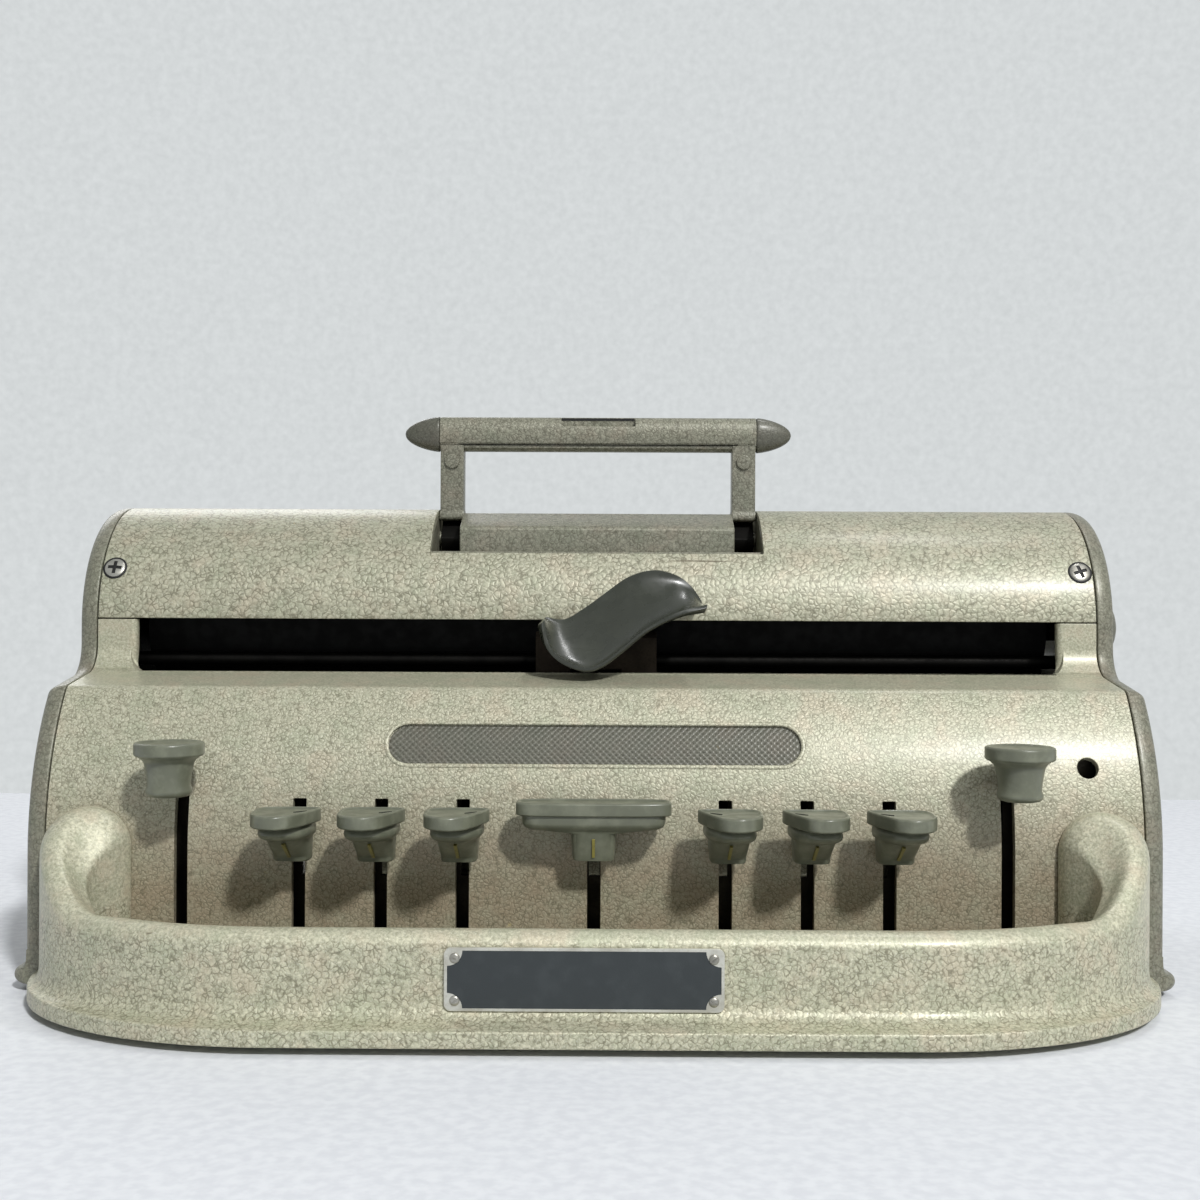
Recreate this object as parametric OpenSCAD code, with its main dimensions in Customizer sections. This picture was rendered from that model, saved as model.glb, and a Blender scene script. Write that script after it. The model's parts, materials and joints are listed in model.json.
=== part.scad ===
// Manual braille writer: cast casing, nine keys, sliding embossing carriage,
// folding carrying handle. X runs to the right, Y to the back, Z up.
// The origin is on the table under the middle of the machine.

/* [Casing] */
// Half of the width over the end plates
case_half_w = 181.8; // [170:0.1:200]
// Thickness of a cast end plate
plate_t = 5.5; // [4:0.1:7]
// How far the rounded rim of an end plate falls back
rim_r = 4; // [2:0.1:5]
// Front plane of the lower casing
front_y = -48.6; // [-52:0.1:-45]
// Rear foot of the end plates
rear_y = 114.5; // [106:0.1:120]
// Height at which the keyboard panel starts to lean back
belly_z = 44.5; // [38:0.1:50]
// Radius of the leaning keyboard panel
belly_r = 84; // [75:0.1:95]
// Height of the front edge of the ledge
ledge_z = 97.5; // [92:0.1:100]
// Slope of the ledge
ledge_slope = 8.9; // [4:0.1:14]
// Radius where the ledge turns up into the slot wall
ledge_fillet_r = 10; // [6:0.1:12]
// Radius of the crest of the casing
crest_r = 43.8; // [41:0.1:48]
// Height of the centre of the crest, also that of the paper roller
crest_z = 117.2; // [114:0.1:124]
// Wall of the cast front cover
wall_t = 3; // [2:0.1:4]
// Wall of the top and rear covers
cover_t = 2.2; // [1.5:0.1:3]
// Thickness of the base plate
base_t = 3; // [2:0.1:4]
// Gap in each seam between two castings
seam = 0.15; // [0.05:0.01:0.3]
// How far the casing stands above the table
foot_h = 2.5; // [1.5:0.1:5]
// Diameter of a rubber foot
foot_d = 14; // [10:0.1:18]
// How far the foot flange of an end plate stands out
flange_out = 5.9; // [3:0.1:9]

/* [Carriage slot] */
// Distance from the side of the casing to the end of the slot
slot_inset = 19.8; // [17:0.1:25]
// Lower edge of the slot
slot_low_z = 100.9; // [99:0.1:104]
// Lower edge of the top cover
cover_low_z = 119.8; // [117:0.1:124]
// Corner radius of the slot
slot_corner_r = 3.6; // [1:0.1:6]

/* [Front guard] */
// Foremost edge of the guard flange
guard_front_y = -114.5; // [-120:0.1:-106]
// Half of the straight part of the guard
guard_straight = 90; // [75:0.1:110]
// How far the flange stands out in front of the wall
guard_flange = 9; // [5:0.1:12]
// How far the flange stands out at the ends
guard_flange_side = 3; // [1:0.1:4]
// Thickness of the guard wall in front
guard_t = 10; // [7:0.1:13]
// Width of the posts at the panel
post_w = 27; // [20:0.1:32]
// Height of the rounded bead in front
bead_z = 33; // [28:0.1:36]
// Height of the posts
post_z = 60; // [50:0.1:66]
// Height of the flange edge
flange_edge_z = 7.5; // [5:0.1:9]
// Height at which the wall runs out into the flange
flange_root_z = 12; // [11:0.1:16]

/* [Bare plate] */
// Width of the bare plate on the guard
plate_w = 79; // [60:0.1:95]
// Height of the bare plate
plate_h = 18; // [14:0.1:19]
// Thickness of the bare plate
plate_thick = 1; // [0.6:0.1:2]
// Distance of a plate screw from the edges of the plate
plate_screw_inset = 3; // [2.5:0.1:5]

/* [Keys] */
// Distance between neighbouring dot keys
key_pitch = 26.25; // [22:0.05:28]
// Distance from the middle to the first dot key
first_key_x = 42.1; // [38:0.1:46]
// Distance from the side of the casing to the round keys
round_key_inset = 49.4; // [44:0.1:55]
// Width of a key slot
key_slot_w = 4.2; // [4:0.1:5]
// Upper end of a dot-key slot
key_slot_top = 62.6; // [61:0.1:66]
// Lower end of the key slots
key_slot_low = 21; // [15:0.1:30]
// Upper end of a round-key slot
round_slot_top = 79; // [77:0.1:84]
// Thickness of a key lever
lever_t = 3; // [2:0.1:3.4]
// Height of the key shaft
pivot_z = 66; // [64:0.1:70]
// Depth of the key shaft
pivot_y = -8.5; // [-9:0.1:-8]
// Diameter of the key shaft
shaft_d = 6; // [5:0.1:8]
// Radial running clearance on a shaft
run_gap = 0.05; // [0.02:0.01:0.1]
// Top of the dot keys
dot_top_z = 62; // [60:0.1:63]
// Top of the round keys
round_top_z = 82; // [80:0.1:84]
// Foremost edge of the dot keys
dot_front_y = -83.9; // [-86:0.1:-82]
// Length of a dot key plate
dot_len = 23.7; // [22:0.1:25]
// Width of a dot key at its rear
dot_rear_w = 20; // [18:0.1:22]
// Width of a dot key at its front
dot_front_w = 18.6; // [17:0.1:20]
// How far the inner front corner of a dot key is drawn back
dot_corner = 18; // [12:0.1:19]
// Diameter of a round key
round_key_d = 21.6; // [18:0.1:25]
// Width of the space bar
space_w = 48.6; // [40:0.1:54]
// Depth of the space bar from front to back
space_len = 13.2; // [11:0.1:15]
// Height of the space bar above the dot keys
space_rise = 2; // [0:0.1:3]

/* [Embossing] */
// Distance of the first embossing bar behind the key shaft
first_arm = 10; // [9.8:0.1:10.2]
// Distance between embossing bars
bar_pitch = 2.6; // [2.5:0.05:2.65]
// Thickness of an embossing bar
bar_t = 1.5; // [1.2:0.1:1.5]
// Height of an embossing bar
bar_h = 8; // [6:0.1:9]
// How far the embossing bars reach past the round keys
bar_past = 17.6; // [15:0.1:20]
// Gap between a finger and its bar, and between a bar and its pin
touch_gap = 0.3; // [0.2:0.05:0.5]
// Diameter of an embossing pin
pin_d = 1.5; // [1.2:0.1:1.8]
// Top of the embossing pins
pin_top_z = 98; // [94:0.1:99]
// Distance between the two columns of pins
pin_column = 2.5; // [2.3:0.1:3]

/* [Carriage] */
// Width of the carriage block
carriage_w = 42.6; // [36:0.1:48]
// Top of the carriage block
carriage_top_z = 115.6; // [112:0.1:117]
// Diameter of the two carriage rods
rod_d = 5; // [4:0.1:6]
// Depth of the carriage rods
rod_y = 18.6; // [18.3:0.1:19]
// Heights of the two carriage rods
rod_low_z = 86; // [84:0.1:88]
// Height of the upper carriage rod
rod_high_z = 105; // [104:0.1:108]
// Distance between letter cells, one tooth each
cell_pitch = 6.35; // [6:0.05:6.5]
// Thickness of the head lever's scoop
scoop_t = 2.2; // [1.6:0.1:3]

/* [Paper roller] */
// Radius of the paper roller
roller_r = 20; // [17:0.1:20.5]
// Diameter of the roller shaft
roller_shaft_d = 10; // [8:0.1:12]
// Diameter of a feed knob
knob_d = 30; // [26:0.1:32]
// Length of a feed knob
knob_l = 14.8; // [12:0.1:20]
// Number of teeth of the line ratchet
ratchet_teeth = 26; // [20:1:36]

/* [Handle] */
// Height of the middle of the upright handle bar
handle_z = 189.4; // [182:0.1:196]
// Diameter of the handle's pivot pins
handle_pin_d = 5; // [4:0.1:6]
// How far the handle's pivot lies below the crest
handle_pivot_drop = 11; // [9:0.1:12]
// Depth of the handle's pivot
handle_pivot_y = 40; // [38:0.1:42]
// Height of the handle bar
handle_h = 13.3; // [10:0.1:15]
// Thickness of the handle bar from front to back
handle_t = 9; // [7:0.1:10]
// Half of the length of the handle bar with its points
handle_half = 73; // [68:0.1:80]
// Length of each pointed end
handle_point = 13.2; // [8:0.1:16]
// Distance from the middle to the middle of an arm
arm_x = 54.9; // [53:0.1:56]
// Width of an arm
arm_w = 8.8; // [7:0.1:9]
// Half of the width of the notch in the top cover
notch_half_w = 59.7; // [59.6:0.1:64]
// Front edge of the notch
notch_front_y = 9; // [7:0.1:11]
// Rear edge of the notch
notch_rear_y = 52; // [50:0.1:56]

/* [Rear] */
// Lower rear edge of the top cover
cover_rear_z = 133; // [130:0.1:136]
// Upper edge of the rear cover
rear_cover_top_z = 98; // [92:0.1:100]
// Diameter of the margin rail
margin_rail_d = 6; // [5:0.1:8]
// Distance from the reading rest to the top cover
rest_gap = 8; // [7:0.1:12]

/* [Hidden] */

enamel = [0.70, 0.69, 0.61];
key_grey = [0.46, 0.48, 0.42];
lever_grey = [0.31, 0.32, 0.28];
steel = [0.62, 0.62, 0.62];
dark_steel = [0.22, 0.22, 0.21];
slate = [0.25, 0.28, 0.30];
rubber = [0.12, 0.12, 0.12];
$fn = 48;
eps = 0.01;

inner_x = case_half_w - plate_t;
bottom_z = foot_h;
base_top_z = bottom_z + base_t + 0.05;
belly_y = front_y + belly_r;
roller_y = crest_r;
roller_z = crest_z;
bar_low_z = pivot_z + touch_gap;
bar_top_z = bar_low_z + bar_h;
guard_wall_y = guard_front_y + guard_flange;
slot_half_w = case_half_w - slot_inset;
round_key_x = case_half_w - round_key_inset;
bar_half = round_key_x + bar_past;
handle_pivot_z = crest_z + crest_r - handle_pivot_drop;
rest_top_z = cover_rear_z - rest_gap;
knob_gap = 0.4;
knob_floor = 6;
knob_end_x = case_half_w + knob_gap + knob_l;
screw_deg = 27.6;
screw_x = inner_x - 4.8;
rear_screw_deg = 72;
lug_depth = 9;

// ---------------------------------------------------------------- outlines

function unit(v) = v / norm(v);
function reversed(p) = [for (i = [len(p) - 1:-1:0]) p[i]];
function smooth(t) = let (s = min(1, max(0, t))) s * s * (3 - 2 * s);
function mix(a, b, t) = a + (b - a) * t;

// Points on an arc about (cy, cz), from angle a0 to angle a1
function arc_pts(cy, cz, r, a0, a1, n) =
    [for (i = [0:n]) let (a = mix(a0, a1, i / n)) [cy + r * cos(a), cz + r * sin(a)]];

// A closed counter-clockwise outline drawn in by d
function inset(p, d) = let (n = len(p)) [for (i = [0:n - 1])
    let (a = unit(p[i] - p[(i + n - 1) % n]), b = unit(p[(i + 1) % n] - p[i]),
         m = [-a[1] - b[1], a[0] + b[0]])
    p[i] + m * d * 2 / (m * m)];

ledge_deg = asin((ledge_z - belly_z) / belly_r);
ledge_y = belly_y - belly_r * cos(ledge_deg);
fillet_z = ledge_z + (-ledge_fillet_r - ledge_y) * tan(ledge_slope)
    + ledge_fillet_r / cos(ledge_slope);

// Angle at which a line from the rear foot touches the crest
rear_dist = norm([rear_y - roller_y, bottom_z - roller_z]);
rear_deg = acos(crest_r / rear_dist) - atan2(roller_z - bottom_z, rear_y - roller_y);

// Side view of the casing, in Y and Z, counter-clockwise
function case_profile() = reversed(concat(
    [[front_y, bottom_z]],
    arc_pts(belly_y, belly_z, belly_r, 180, 180 - ledge_deg, 9),
    arc_pts(-ledge_fillet_r, fillet_z, ledge_fillet_r, ledge_slope - 90, 0, 5),
    arc_pts(roller_y, roller_z, crest_r, 180, rear_deg, 20),
    [[rear_y, bottom_z]]));

// Depth of the casing's rear slope at a height
function rear_slope_y(z) = rear_y - (z - bottom_z) * tan(rear_deg);

// Depth of the keyboard panel at a height, and its lean there
function panel_deg(z) = asin(max(0, z - belly_z) / belly_r);
function panel_y(z) = belly_y - belly_r * cos(panel_deg(z));

// ---------------------------------------------------------------- helpers

// Solid between rings of points that all have the same count
module loft(rings) {
    n = len(rings[0]);
    m = len(rings);
    polyhedron(
        points = [for (r = rings) each r],
        faces = concat(
            [[for (i = [0:n - 1]) i]],
            [for (k = [0:m - 2], i = [0:n - 1]) each [
                [k * n + i, (k + 1) * n + i, (k + 1) * n + (i + 1) % n],
                [k * n + i, (k + 1) * n + (i + 1) % n, k * n + (i + 1) % n]]],
            [[for (i = [n - 1:-1:0]) (m - 1) * n + i]]),
        convexity = 10);
}

// Prism of a Y-Z outline between two places along X
module along_x(x0, x1, outline) {
    translate([x0, 0, 0]) rotate([90, 0, 90]) linear_extrude(x1 - x0) polygon(outline);
}

module rod_x(x0, x1, y, z, d) {
    translate([x0, y, z]) rotate([0, 90, 0]) cylinder(d = d, h = x1 - x0);
}

module box(a, b) {
    translate(a) cube(b - a);
}

module both_sides() {
    children();
    mirror([1, 0, 0]) children();
}

// The whole casing as a block, drawn in by d, between x = -w and x = w
module case_block(w, d) {
    along_x(-w, w, inset(case_profile(), d));
}

// ---------------------------------------------------------------- casing

module foot_flange() {
    x0 = case_half_w + 0.3;
    in_x = case_half_w - 2.6;
    xo = case_half_w + flange_out;
    edge_r = 2.6;
    root_z = bottom_z + 11.2;
    low_z = bottom_z - 0.2;
    start_y = front_y + 0.7;
    outline = concat(
        [[in_x, low_z]],
        [for (a = [-90:30:60]) [xo - edge_r + edge_r * cos(a), low_z + edge_r + edge_r * sin(a)]],
        [for (t = [18:18:90]) [mix(xo - 1.3, x0, sin(t)), mix(bottom_z + 5, root_z, 1 - cos(t))]],
        [[in_x, root_z + 1.4]]);
    length = rear_slope_y(root_z) - start_y;
    translate([0, start_y + length, 0]) rotate([90, 0, 0]) linear_extrude(length) polygon(outline);
}

// Lug on an end plate that a cover screw goes into, on the crest's arc
module screw_lug(deg) {
    translate([0, roller_y, roller_z]) rotate([deg, 0, 0])
        difference() {
            box([screw_x - 4.5, -crest_r + cover_t + 0.6, -4.5],
                [inner_x + 1, -crest_r + cover_t + lug_depth, 4.5]);
            translate([screw_x, -crest_r + cover_t + lug_depth + 1, 0]) rotate([90, 0, 0])
                cylinder(d = 3.5 + 2 * run_gap, h = lug_depth + 2);
        }
}

module end_plate() {
    flat = plate_t - 3.1;
    rim = [for (t = [0:22.5:90]) [inner_x + flat + 3.1 * sin(t), rim_r * (1 - cos(t))]];
    rings = concat(
        [[for (p = case_profile()) [inner_x, p[0], p[1]]]],
        [for (s = rim) [for (p = inset(case_profile(), s[1])) [s[0], p[0], p[1]]]],
        [[for (p = inset(case_profile(), rim_r + 0.5)) [case_half_w + 1, p[0], p[1]]]]);
    difference() {
        union() {
            difference() {
                loft(rings);
                box([case_half_w, front_y - 5, -5], [case_half_w + 5, rear_y + 5, 200]);
            }
            foot_flange();
            screw_lug(-screw_deg);
            screw_lug(-180 + rear_screw_deg);
        }
        rod_x(inner_x - 10, case_half_w + 10, roller_y, roller_z, roller_shaft_d + 2 * run_gap);
        rod_x(inner_x - 10, case_half_w + 10, release_y, release_z, release_d + 2 * run_gap);
        for (r = blind_rods)
            rod_x(inner_x - 1, inner_x + seat_depth, r[0], r[1], r[2] + 2 * run_gap);
    }
}

release_y = 72;
release_z = 98;
release_d = 6;
seat_depth = 2.5;
margin_y = rear_slope_y(110) - 9;
margin_z = 110;
// Depth, height and diameter of the rods that sit in blind holes in the end plates
blind_rods = [
    [pivot_y, pivot_z, shaft_d],
    [rod_y, rod_low_z, rod_d],
    [rod_y, rod_high_z, rod_d],
    [margin_y, margin_z, margin_rail_d]];
rod_half = inner_x + seat_depth - 0.2;

module left_end_plate() {
    color(enamel) mirror([1, 0, 0]) end_plate();
}

module right_end_plate() {
    color(enamel) end_plate();
}

// Plan point of the guard on an ellipse about the end of its straight part
function guard_pt(side, a, ax, by) =
    [side * (guard_straight + ax * cos(a)), front_y - by * sin(a)];

guard_ax = inner_x - 1.3 - guard_straight;
guard_by = front_y - guard_wall_y;

// Ring of the guard: inner, outer and flange points in plan, and the top's height
function guard_ring(p_in, p_out, p_edge, top_z) =
    let (half_t = norm(p_out - p_in) / 2, round_h = half_t * 0.95,
         across = function (w) w <= 1 ? mix(p_in, p_out, w) : mix(p_out, p_edge, w - 1),
         cross = concat(
            [[0, bottom_z]],
            [for (a = [180:-20:0]) [0.5 + 0.5 * cos(a), top_z - round_h + round_h * sin(a)]],
            [[1, flange_root_z]],
            [for (t = [30:15:90]) [1 + pow(1 - cos(t), 1.5), mix(flange_root_z, flange_edge_z, sin(t))]],
            [[2, bottom_z]]))
    [for (c = cross) let (p = across(c[0])) [p[0], p[1], c[1]]];

function guard_top(a) = mix(post_z, bead_z, smooth((a - 2) / 42));

function guard_corner(side, a) = guard_ring(
    guard_pt(side, a, guard_ax - post_w, guard_by - guard_t),
    guard_pt(side, a, guard_ax, guard_by),
    guard_pt(side, a, guard_ax + guard_flange_side, guard_by + guard_flange),
    guard_top(a));

module front_guard() {
    back = function (ring) [for (p = ring) [p[0], p[1] + 6, p[2]]];
    angles = [for (a = [0:5:50]) a, for (a = [58:8:90]) a];
    left = [for (a = angles) guard_corner(-1, a)];
    right = [for (a = reversed(angles)) guard_corner(1, a)];
    color(enamel) difference() {
        loft(concat([back(left[0])], left, right, [back(right[len(right) - 1])]));
        case_block(case_half_w + 1, -seam);
    }
}

// Upright slot with a rounded lower end, cut through from front to back
module key_slot(x, top) {
    box([x - key_slot_w / 2, front_y - 5, key_slot_low], [x + key_slot_w / 2, 0, top]);
}

module stadium_prism(half, h, depth) {
    linear_extrude(depth) {
        square([2 * (half - h / 2), h], center = true);
        for (s = [-1, 1]) translate([s * (half - h / 2), 0]) circle(d = h);
    }
}

badge_z = 80;
badge_half = 67.4;
badge_h = 14;
badge_depth = 1.2;

// Places something that points out of the panel at a height
module on_panel(x, z) {
    translate([x, panel_y(z), z]) rotate([90 - panel_deg(z), 0, 0]) children();
}

module front_cover() {
    w = inner_x - seam;
    top = cover_low_z - 2 * seam;
    color(enamel) difference() {
        intersection() {
            difference() {
                case_block(w, 0);
                case_block(w + 1, wall_t);
                box([-w - 1, front_y + wall_t, 0], [w + 1, 60, bottom_z + wall_t + base_t]);
            }
            box([-w, front_y - 1, bottom_z + base_t + seam], [w, wall_t + 1, top]);
        }
        // the slot for the carriage
        translate([0, 20, 0]) rotate([90, 0, 0]) linear_extrude(26) {
            square_z = top + 5 - slot_low_z;
            translate([-slot_half_w, slot_low_z + slot_corner_r])
                square([2 * slot_half_w, square_z]);
            translate([-slot_half_w + slot_corner_r, slot_low_z])
                square([2 * (slot_half_w - slot_corner_r), square_z]);
            for (s = [-1, 1])
                translate([s * (slot_half_w - slot_corner_r), slot_low_z + slot_corner_r])
                    circle(r = slot_corner_r);
        }
        for (k = [1:6]) key_slot(dot_x(k), key_slot_top);
        key_slot(0, key_slot_top);
        for (s = [-1, 1]) key_slot(s * round_key_x, round_slot_top);
        // the recess of the badge
        difference() {
            on_panel(0, badge_z) translate([0, 0, -10]) stadium_prism(badge_half, badge_h, 20);
            case_block(w + 1, badge_depth);
        }
        // access hole at the right
        on_panel(159.2, 73.4) translate([0, 0, -10]) cylinder(d = 6.8, h = 20);
    }
}

module top_cover() {
    w = inner_x - seam;
    color(enamel) difference() {
        intersection() {
            difference() {
                case_block(w, 0);
                case_block(w + 1, cover_t);
            }
            union() {
                box([-w, -1, cover_low_z], [w, roller_y, 170]);
                box([-w, roller_y, cover_rear_z], [w, 100, 170]);
            }
        }
        box([-notch_half_w, notch_front_y, 130], [notch_half_w, notch_rear_y, 170]);
        both_sides() for (deg = [-screw_deg, -180 + rear_screw_deg])
            translate([screw_x, roller_y, roller_z]) rotate([deg, 0, 0])
                rotate([90, 0, 0]) cylinder(d = 4, h = crest_r + 5);
    }
}

module rear_cover() {
    w = inner_x - seam;
    top = rear_cover_top_z;
    t = cover_t;
    outline = [
        [rear_slope_y(bottom_z + 0.2), bottom_z + 0.2],
        [rear_slope_y(top), top],
        [rear_slope_y(top) - 7, top + 0.8],
        [rear_slope_y(top) - 7, top - t + 0.8],
        [rear_slope_y(top) - t * 1.1, top - t],
        [rear_slope_y(bottom_z + 8) - t, bottom_z + 8],
        [rear_slope_y(bottom_z + 8) - t - 7, bottom_z + 5],
        [rear_slope_y(bottom_z + 8) - t - 7, bottom_z + 3.2],
        [rear_slope_y(bottom_z + 3.2) - t - 0.3, bottom_z + 3.2],
        [rear_slope_y(bottom_z + 0.2) - t - 0.3, bottom_z + 0.2]];
    color(enamel) along_x(-w, w, outline);
}

module base_plate() {
    gap = 0.3;
    w = inner_x - seam;
    yb = rear_slope_y(bottom_z) - cover_t - 1;
    in_x = guard_ax - post_w - gap;
    in_y = guard_by - guard_t - gap;
    left = [for (a = [0:10:90]) guard_pt(-1, a, in_x, in_y)];
    right = [for (a = [90:-10:0]) guard_pt(1, a, in_x, in_y)];
    color(enamel) translate([0, 0, bottom_z]) linear_extrude(base_t) {
        polygon(concat(left, right));
        translate([left[0][0], front_y - eps]) square([-2 * left[0][0], 1]);
        translate([-w, front_y + seam]) square([2 * w, yb - front_y - seam]);
    }
}

// ---------------------------------------------------------------- fasteners and feet

// Cross-head screw that points into the casing along -Z
module cross_screw(head_d, dome, shank_d, shank_l) {
    sphere_r = (head_d * head_d / 4 + dome * dome) / (2 * dome);
    difference() {
        union() {
            intersection() {
                translate([0, 0, dome - sphere_r]) sphere(r = sphere_r);
                cylinder(d = head_d, h = dome + 1);
            }
            translate([0, 0, -shank_l]) cylinder(d = shank_d, h = shank_l + eps);
        }
        for (a = [0, 90]) rotate([0, 0, a])
            translate([-head_d * 0.3, -head_d * 0.06, dome - 1]) cube([head_d * 0.6, head_d * 0.12, 3]);
    }
}

module cover_screws() {
    color(steel) both_sides() for (deg = [-screw_deg, -180 + rear_screw_deg])
        translate([screw_x, roller_y, roller_z]) rotate([deg, 0, 0])
            translate([0, -crest_r - 0.3, 0]) rotate([90, 0, 0]) cross_screw(7.9, 1.5, 3.5, 9);
}

plate_z = 11 + plate_h / 2;
plate_y = guard_wall_y - 0.2;
plate_x = -2;

module at_plate_corners() {
    for (sx = [-1, 1], sz = [-1, 1])
        translate([plate_x + sx * (plate_w / 2 - plate_screw_inset), plate_y - plate_thick,
                   plate_z + sz * (plate_h / 2 - plate_screw_inset)])
            rotate([90, 0, 0]) children();
}

module guard_plate() {
    r = 2;
    color(slate) translate([plate_x, plate_y, plate_z]) rotate([90, 0, 0])
        linear_extrude(plate_thick) {
            square([plate_w, plate_h - 2 * r], center = true);
            square([plate_w - 2 * r, plate_h], center = true);
            for (sx = [-1, 1], sz = [-1, 1])
                translate([sx * (plate_w / 2 - r), sz * (plate_h / 2 - r)]) circle(r = r, $fn = 24);
        }
}

module guard_plate_screws() {
    color(steel) at_plate_corners() translate([0, 0, 0.05]) intersection() {
        translate([0, 0, 0.7 - 1.9]) sphere(r = 1.9);
        cylinder(d = 3, h = 2);
    }
}

module rubber_feet() {
    r = foot_d / 2;
    color(rubber) both_sides() for (p = [[guard_straight + 20, front_y - 29.4],
                                         [inner_x - 26.3, rear_y - 22.5]])
        translate([p[0], p[1], 0]) rotate_extrude()
            polygon([[0, 0], [r - 0.5, 0], [r, 0.5], [r, foot_h], [0, foot_h]]);
}

// ---------------------------------------------------------------- keys

function dot_x(k) = k <= 3 ? -(first_key_x + (k - 1) * key_pitch)
                           : first_key_x + (k - 4) * key_pitch;

// Bar under which the finger of dot key k lies, counted from the front
function bar_y(k) = pivot_y + first_arm + (k - 1) * bar_pitch;

function sgn_pow(v, e) = sign(v) * pow(abs(v), e);

// Rounded ring: widths in front and behind, front and rear depth, height, and how far
// its front corner at the right is drawn back
function cap_ring(w_front, w_rear, y_front, y_rear, z, corner = 0) = [for (a = [0:15:345])
    let (u = sgn_pow(cos(a), 0.5), t = (sgn_pow(sin(a), 0.5) + 1) / 2,
         back = pow(max(0, u - 0.1) / 0.9, 1.6) + 0.2 * pow(max(0, 0.1 - u), 2))
    [u * mix(w_front, w_rear, t) / 2, mix(y_front + corner * back, y_rear, t), z]];

stem_rear_y = front_y - 4;
stem_front_y = stem_rear_y - 9;
tongue_y = stem_front_y + 2.6;
// Lower and upper edge of a lever's tongue below the top of its key
dot_tongue = [14, 8.6];
round_tongue = [15.4, 9];
// Where the tail of a lever without an embossing bar ends, behind the key shaft
idle_tail = 7;

module tongue_pocket(low, high) {
    gap = 0.1;
    box([-lever_t / 2 - gap, tongue_y - gap, low - gap], [lever_t / 2 + gap, 0, high + gap]);
}

// Cap of a dot key left of the middle; its inner front corner is drawn back
module dot_cap() {
    f = dot_front_y;
    r = dot_front_y + dot_len;
    z = dot_top_z;
    wf = dot_front_w;
    wr = dot_rear_w;
    c = dot_corner;
    difference() {
        loft([
            cap_ring(10, 10.6, stem_front_y + 0.6, stem_rear_y - 0.4, z - 17.2),
            cap_ring(11, 11.6, stem_front_y, stem_rear_y, z - 16.4),
            cap_ring(12.4, 13, f + 12.4, stem_rear_y - 0.4, z - 9.6, c / 6),
            cap_ring(wf - 5, wr - 5, f + 8.6, stem_rear_y - 1.6, z - 8.4, c / 3),
            cap_ring(wf - 3.6, wr - 3.2, f + 5.2, r + 2.6, z - 6.2, c / 2),
            cap_ring(wf - 4.2, wr - 3.6, f + 5.2, r + 2, z - 4.4, c * 0.6),
            cap_ring(wf - 1, wr - 1, f + 0.7, r + 0.4, z - 3.5, c * 0.95),
            cap_ring(wf, wr, f, r, z - 2.8, c),
            cap_ring(wf, wr, f, r, z - 0.9, c),
            cap_ring(wf - 1.1, wr - 1.1, f + 0.8, r - 0.6, z, c * 0.97),
            cap_ring(wf - 3.1, wr - 3.1, f + 2.3, r - 1.6, z - 0.5, c * 0.9)]);
        tongue_pocket(z - dot_tongue[0], z - dot_tongue[1]);
    }
}

module space_cap() {
    r = stem_rear_y - 0.2;
    f = r - space_len;
    z = dot_top_z + space_rise;
    w = space_w;
    color(key_grey) difference() {
        loft([
            cap_ring(12, 12.4, stem_front_y + 0.4, stem_rear_y, z - 18.6),
            cap_ring(13, 13.4, stem_front_y, stem_rear_y, z - 17.8),
            cap_ring(13.6, 14, stem_front_y - 1.6, stem_rear_y, z - 9.6),
            cap_ring(w - 6, w - 6, f + 2.2, r, z - 8.2),
            cap_ring(w - 3.4, w - 3.4, f + 1.2, r, z - 6.4),
            cap_ring(w - 3.4, w - 3.4, f + 1.2, r, z - 4.2),
            cap_ring(w - 0.8, w - 0.8, f + 0.4, r, z - 3.4),
            cap_ring(w, w, f, r, z - 2.8),
            cap_ring(w, w, f, r, z - 0.9),
            cap_ring(w - 1.4, w - 1.4, f + 0.7, r - 0.6, z),
            cap_ring(w - 3.2, w - 3.2, f + 1.8, r - 1.5, z - 0.35)]);
        tongue_pocket(dot_top_z - dot_tongue[0], dot_top_z - dot_tongue[1]);
    }
}

round_key_y = stem_front_y;

module round_cap() {
    r = round_key_d / 2;
    neck_r = 7.5;
    low = -round_tongue[0] - 1.6;
    difference() {
        union() {
            translate([0, round_key_y, round_top_z]) rotate_extrude()
                polygon([[0, low], [neck_r - 3.5, low], [neck_r - 1.4, low + 0.9],
                         [neck_r - 0.4, low + 2.6], [neck_r, low + 5], [neck_r, -6.6],
                         [neck_r + 1.2, -4.6], [r - 1.8, -3.4], [r - 0.4, -2.8], [r, -2.2],
                         [r, -1], [r - 0.6, -0.2], [r - 1.4, 0], [r - 3, -0.5], [0, -0.7]]);
            box([-lever_t / 2 - 0.9, round_key_y + 4, round_top_z - round_tongue[0] - 0.6],
                [lever_t / 2 + 0.9, stem_rear_y + 0.9, round_top_z - round_tongue[1]]);
        }
        tongue_pocket(round_top_z - round_tongue[0], round_top_z - round_tongue[1]);
    }
}

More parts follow.
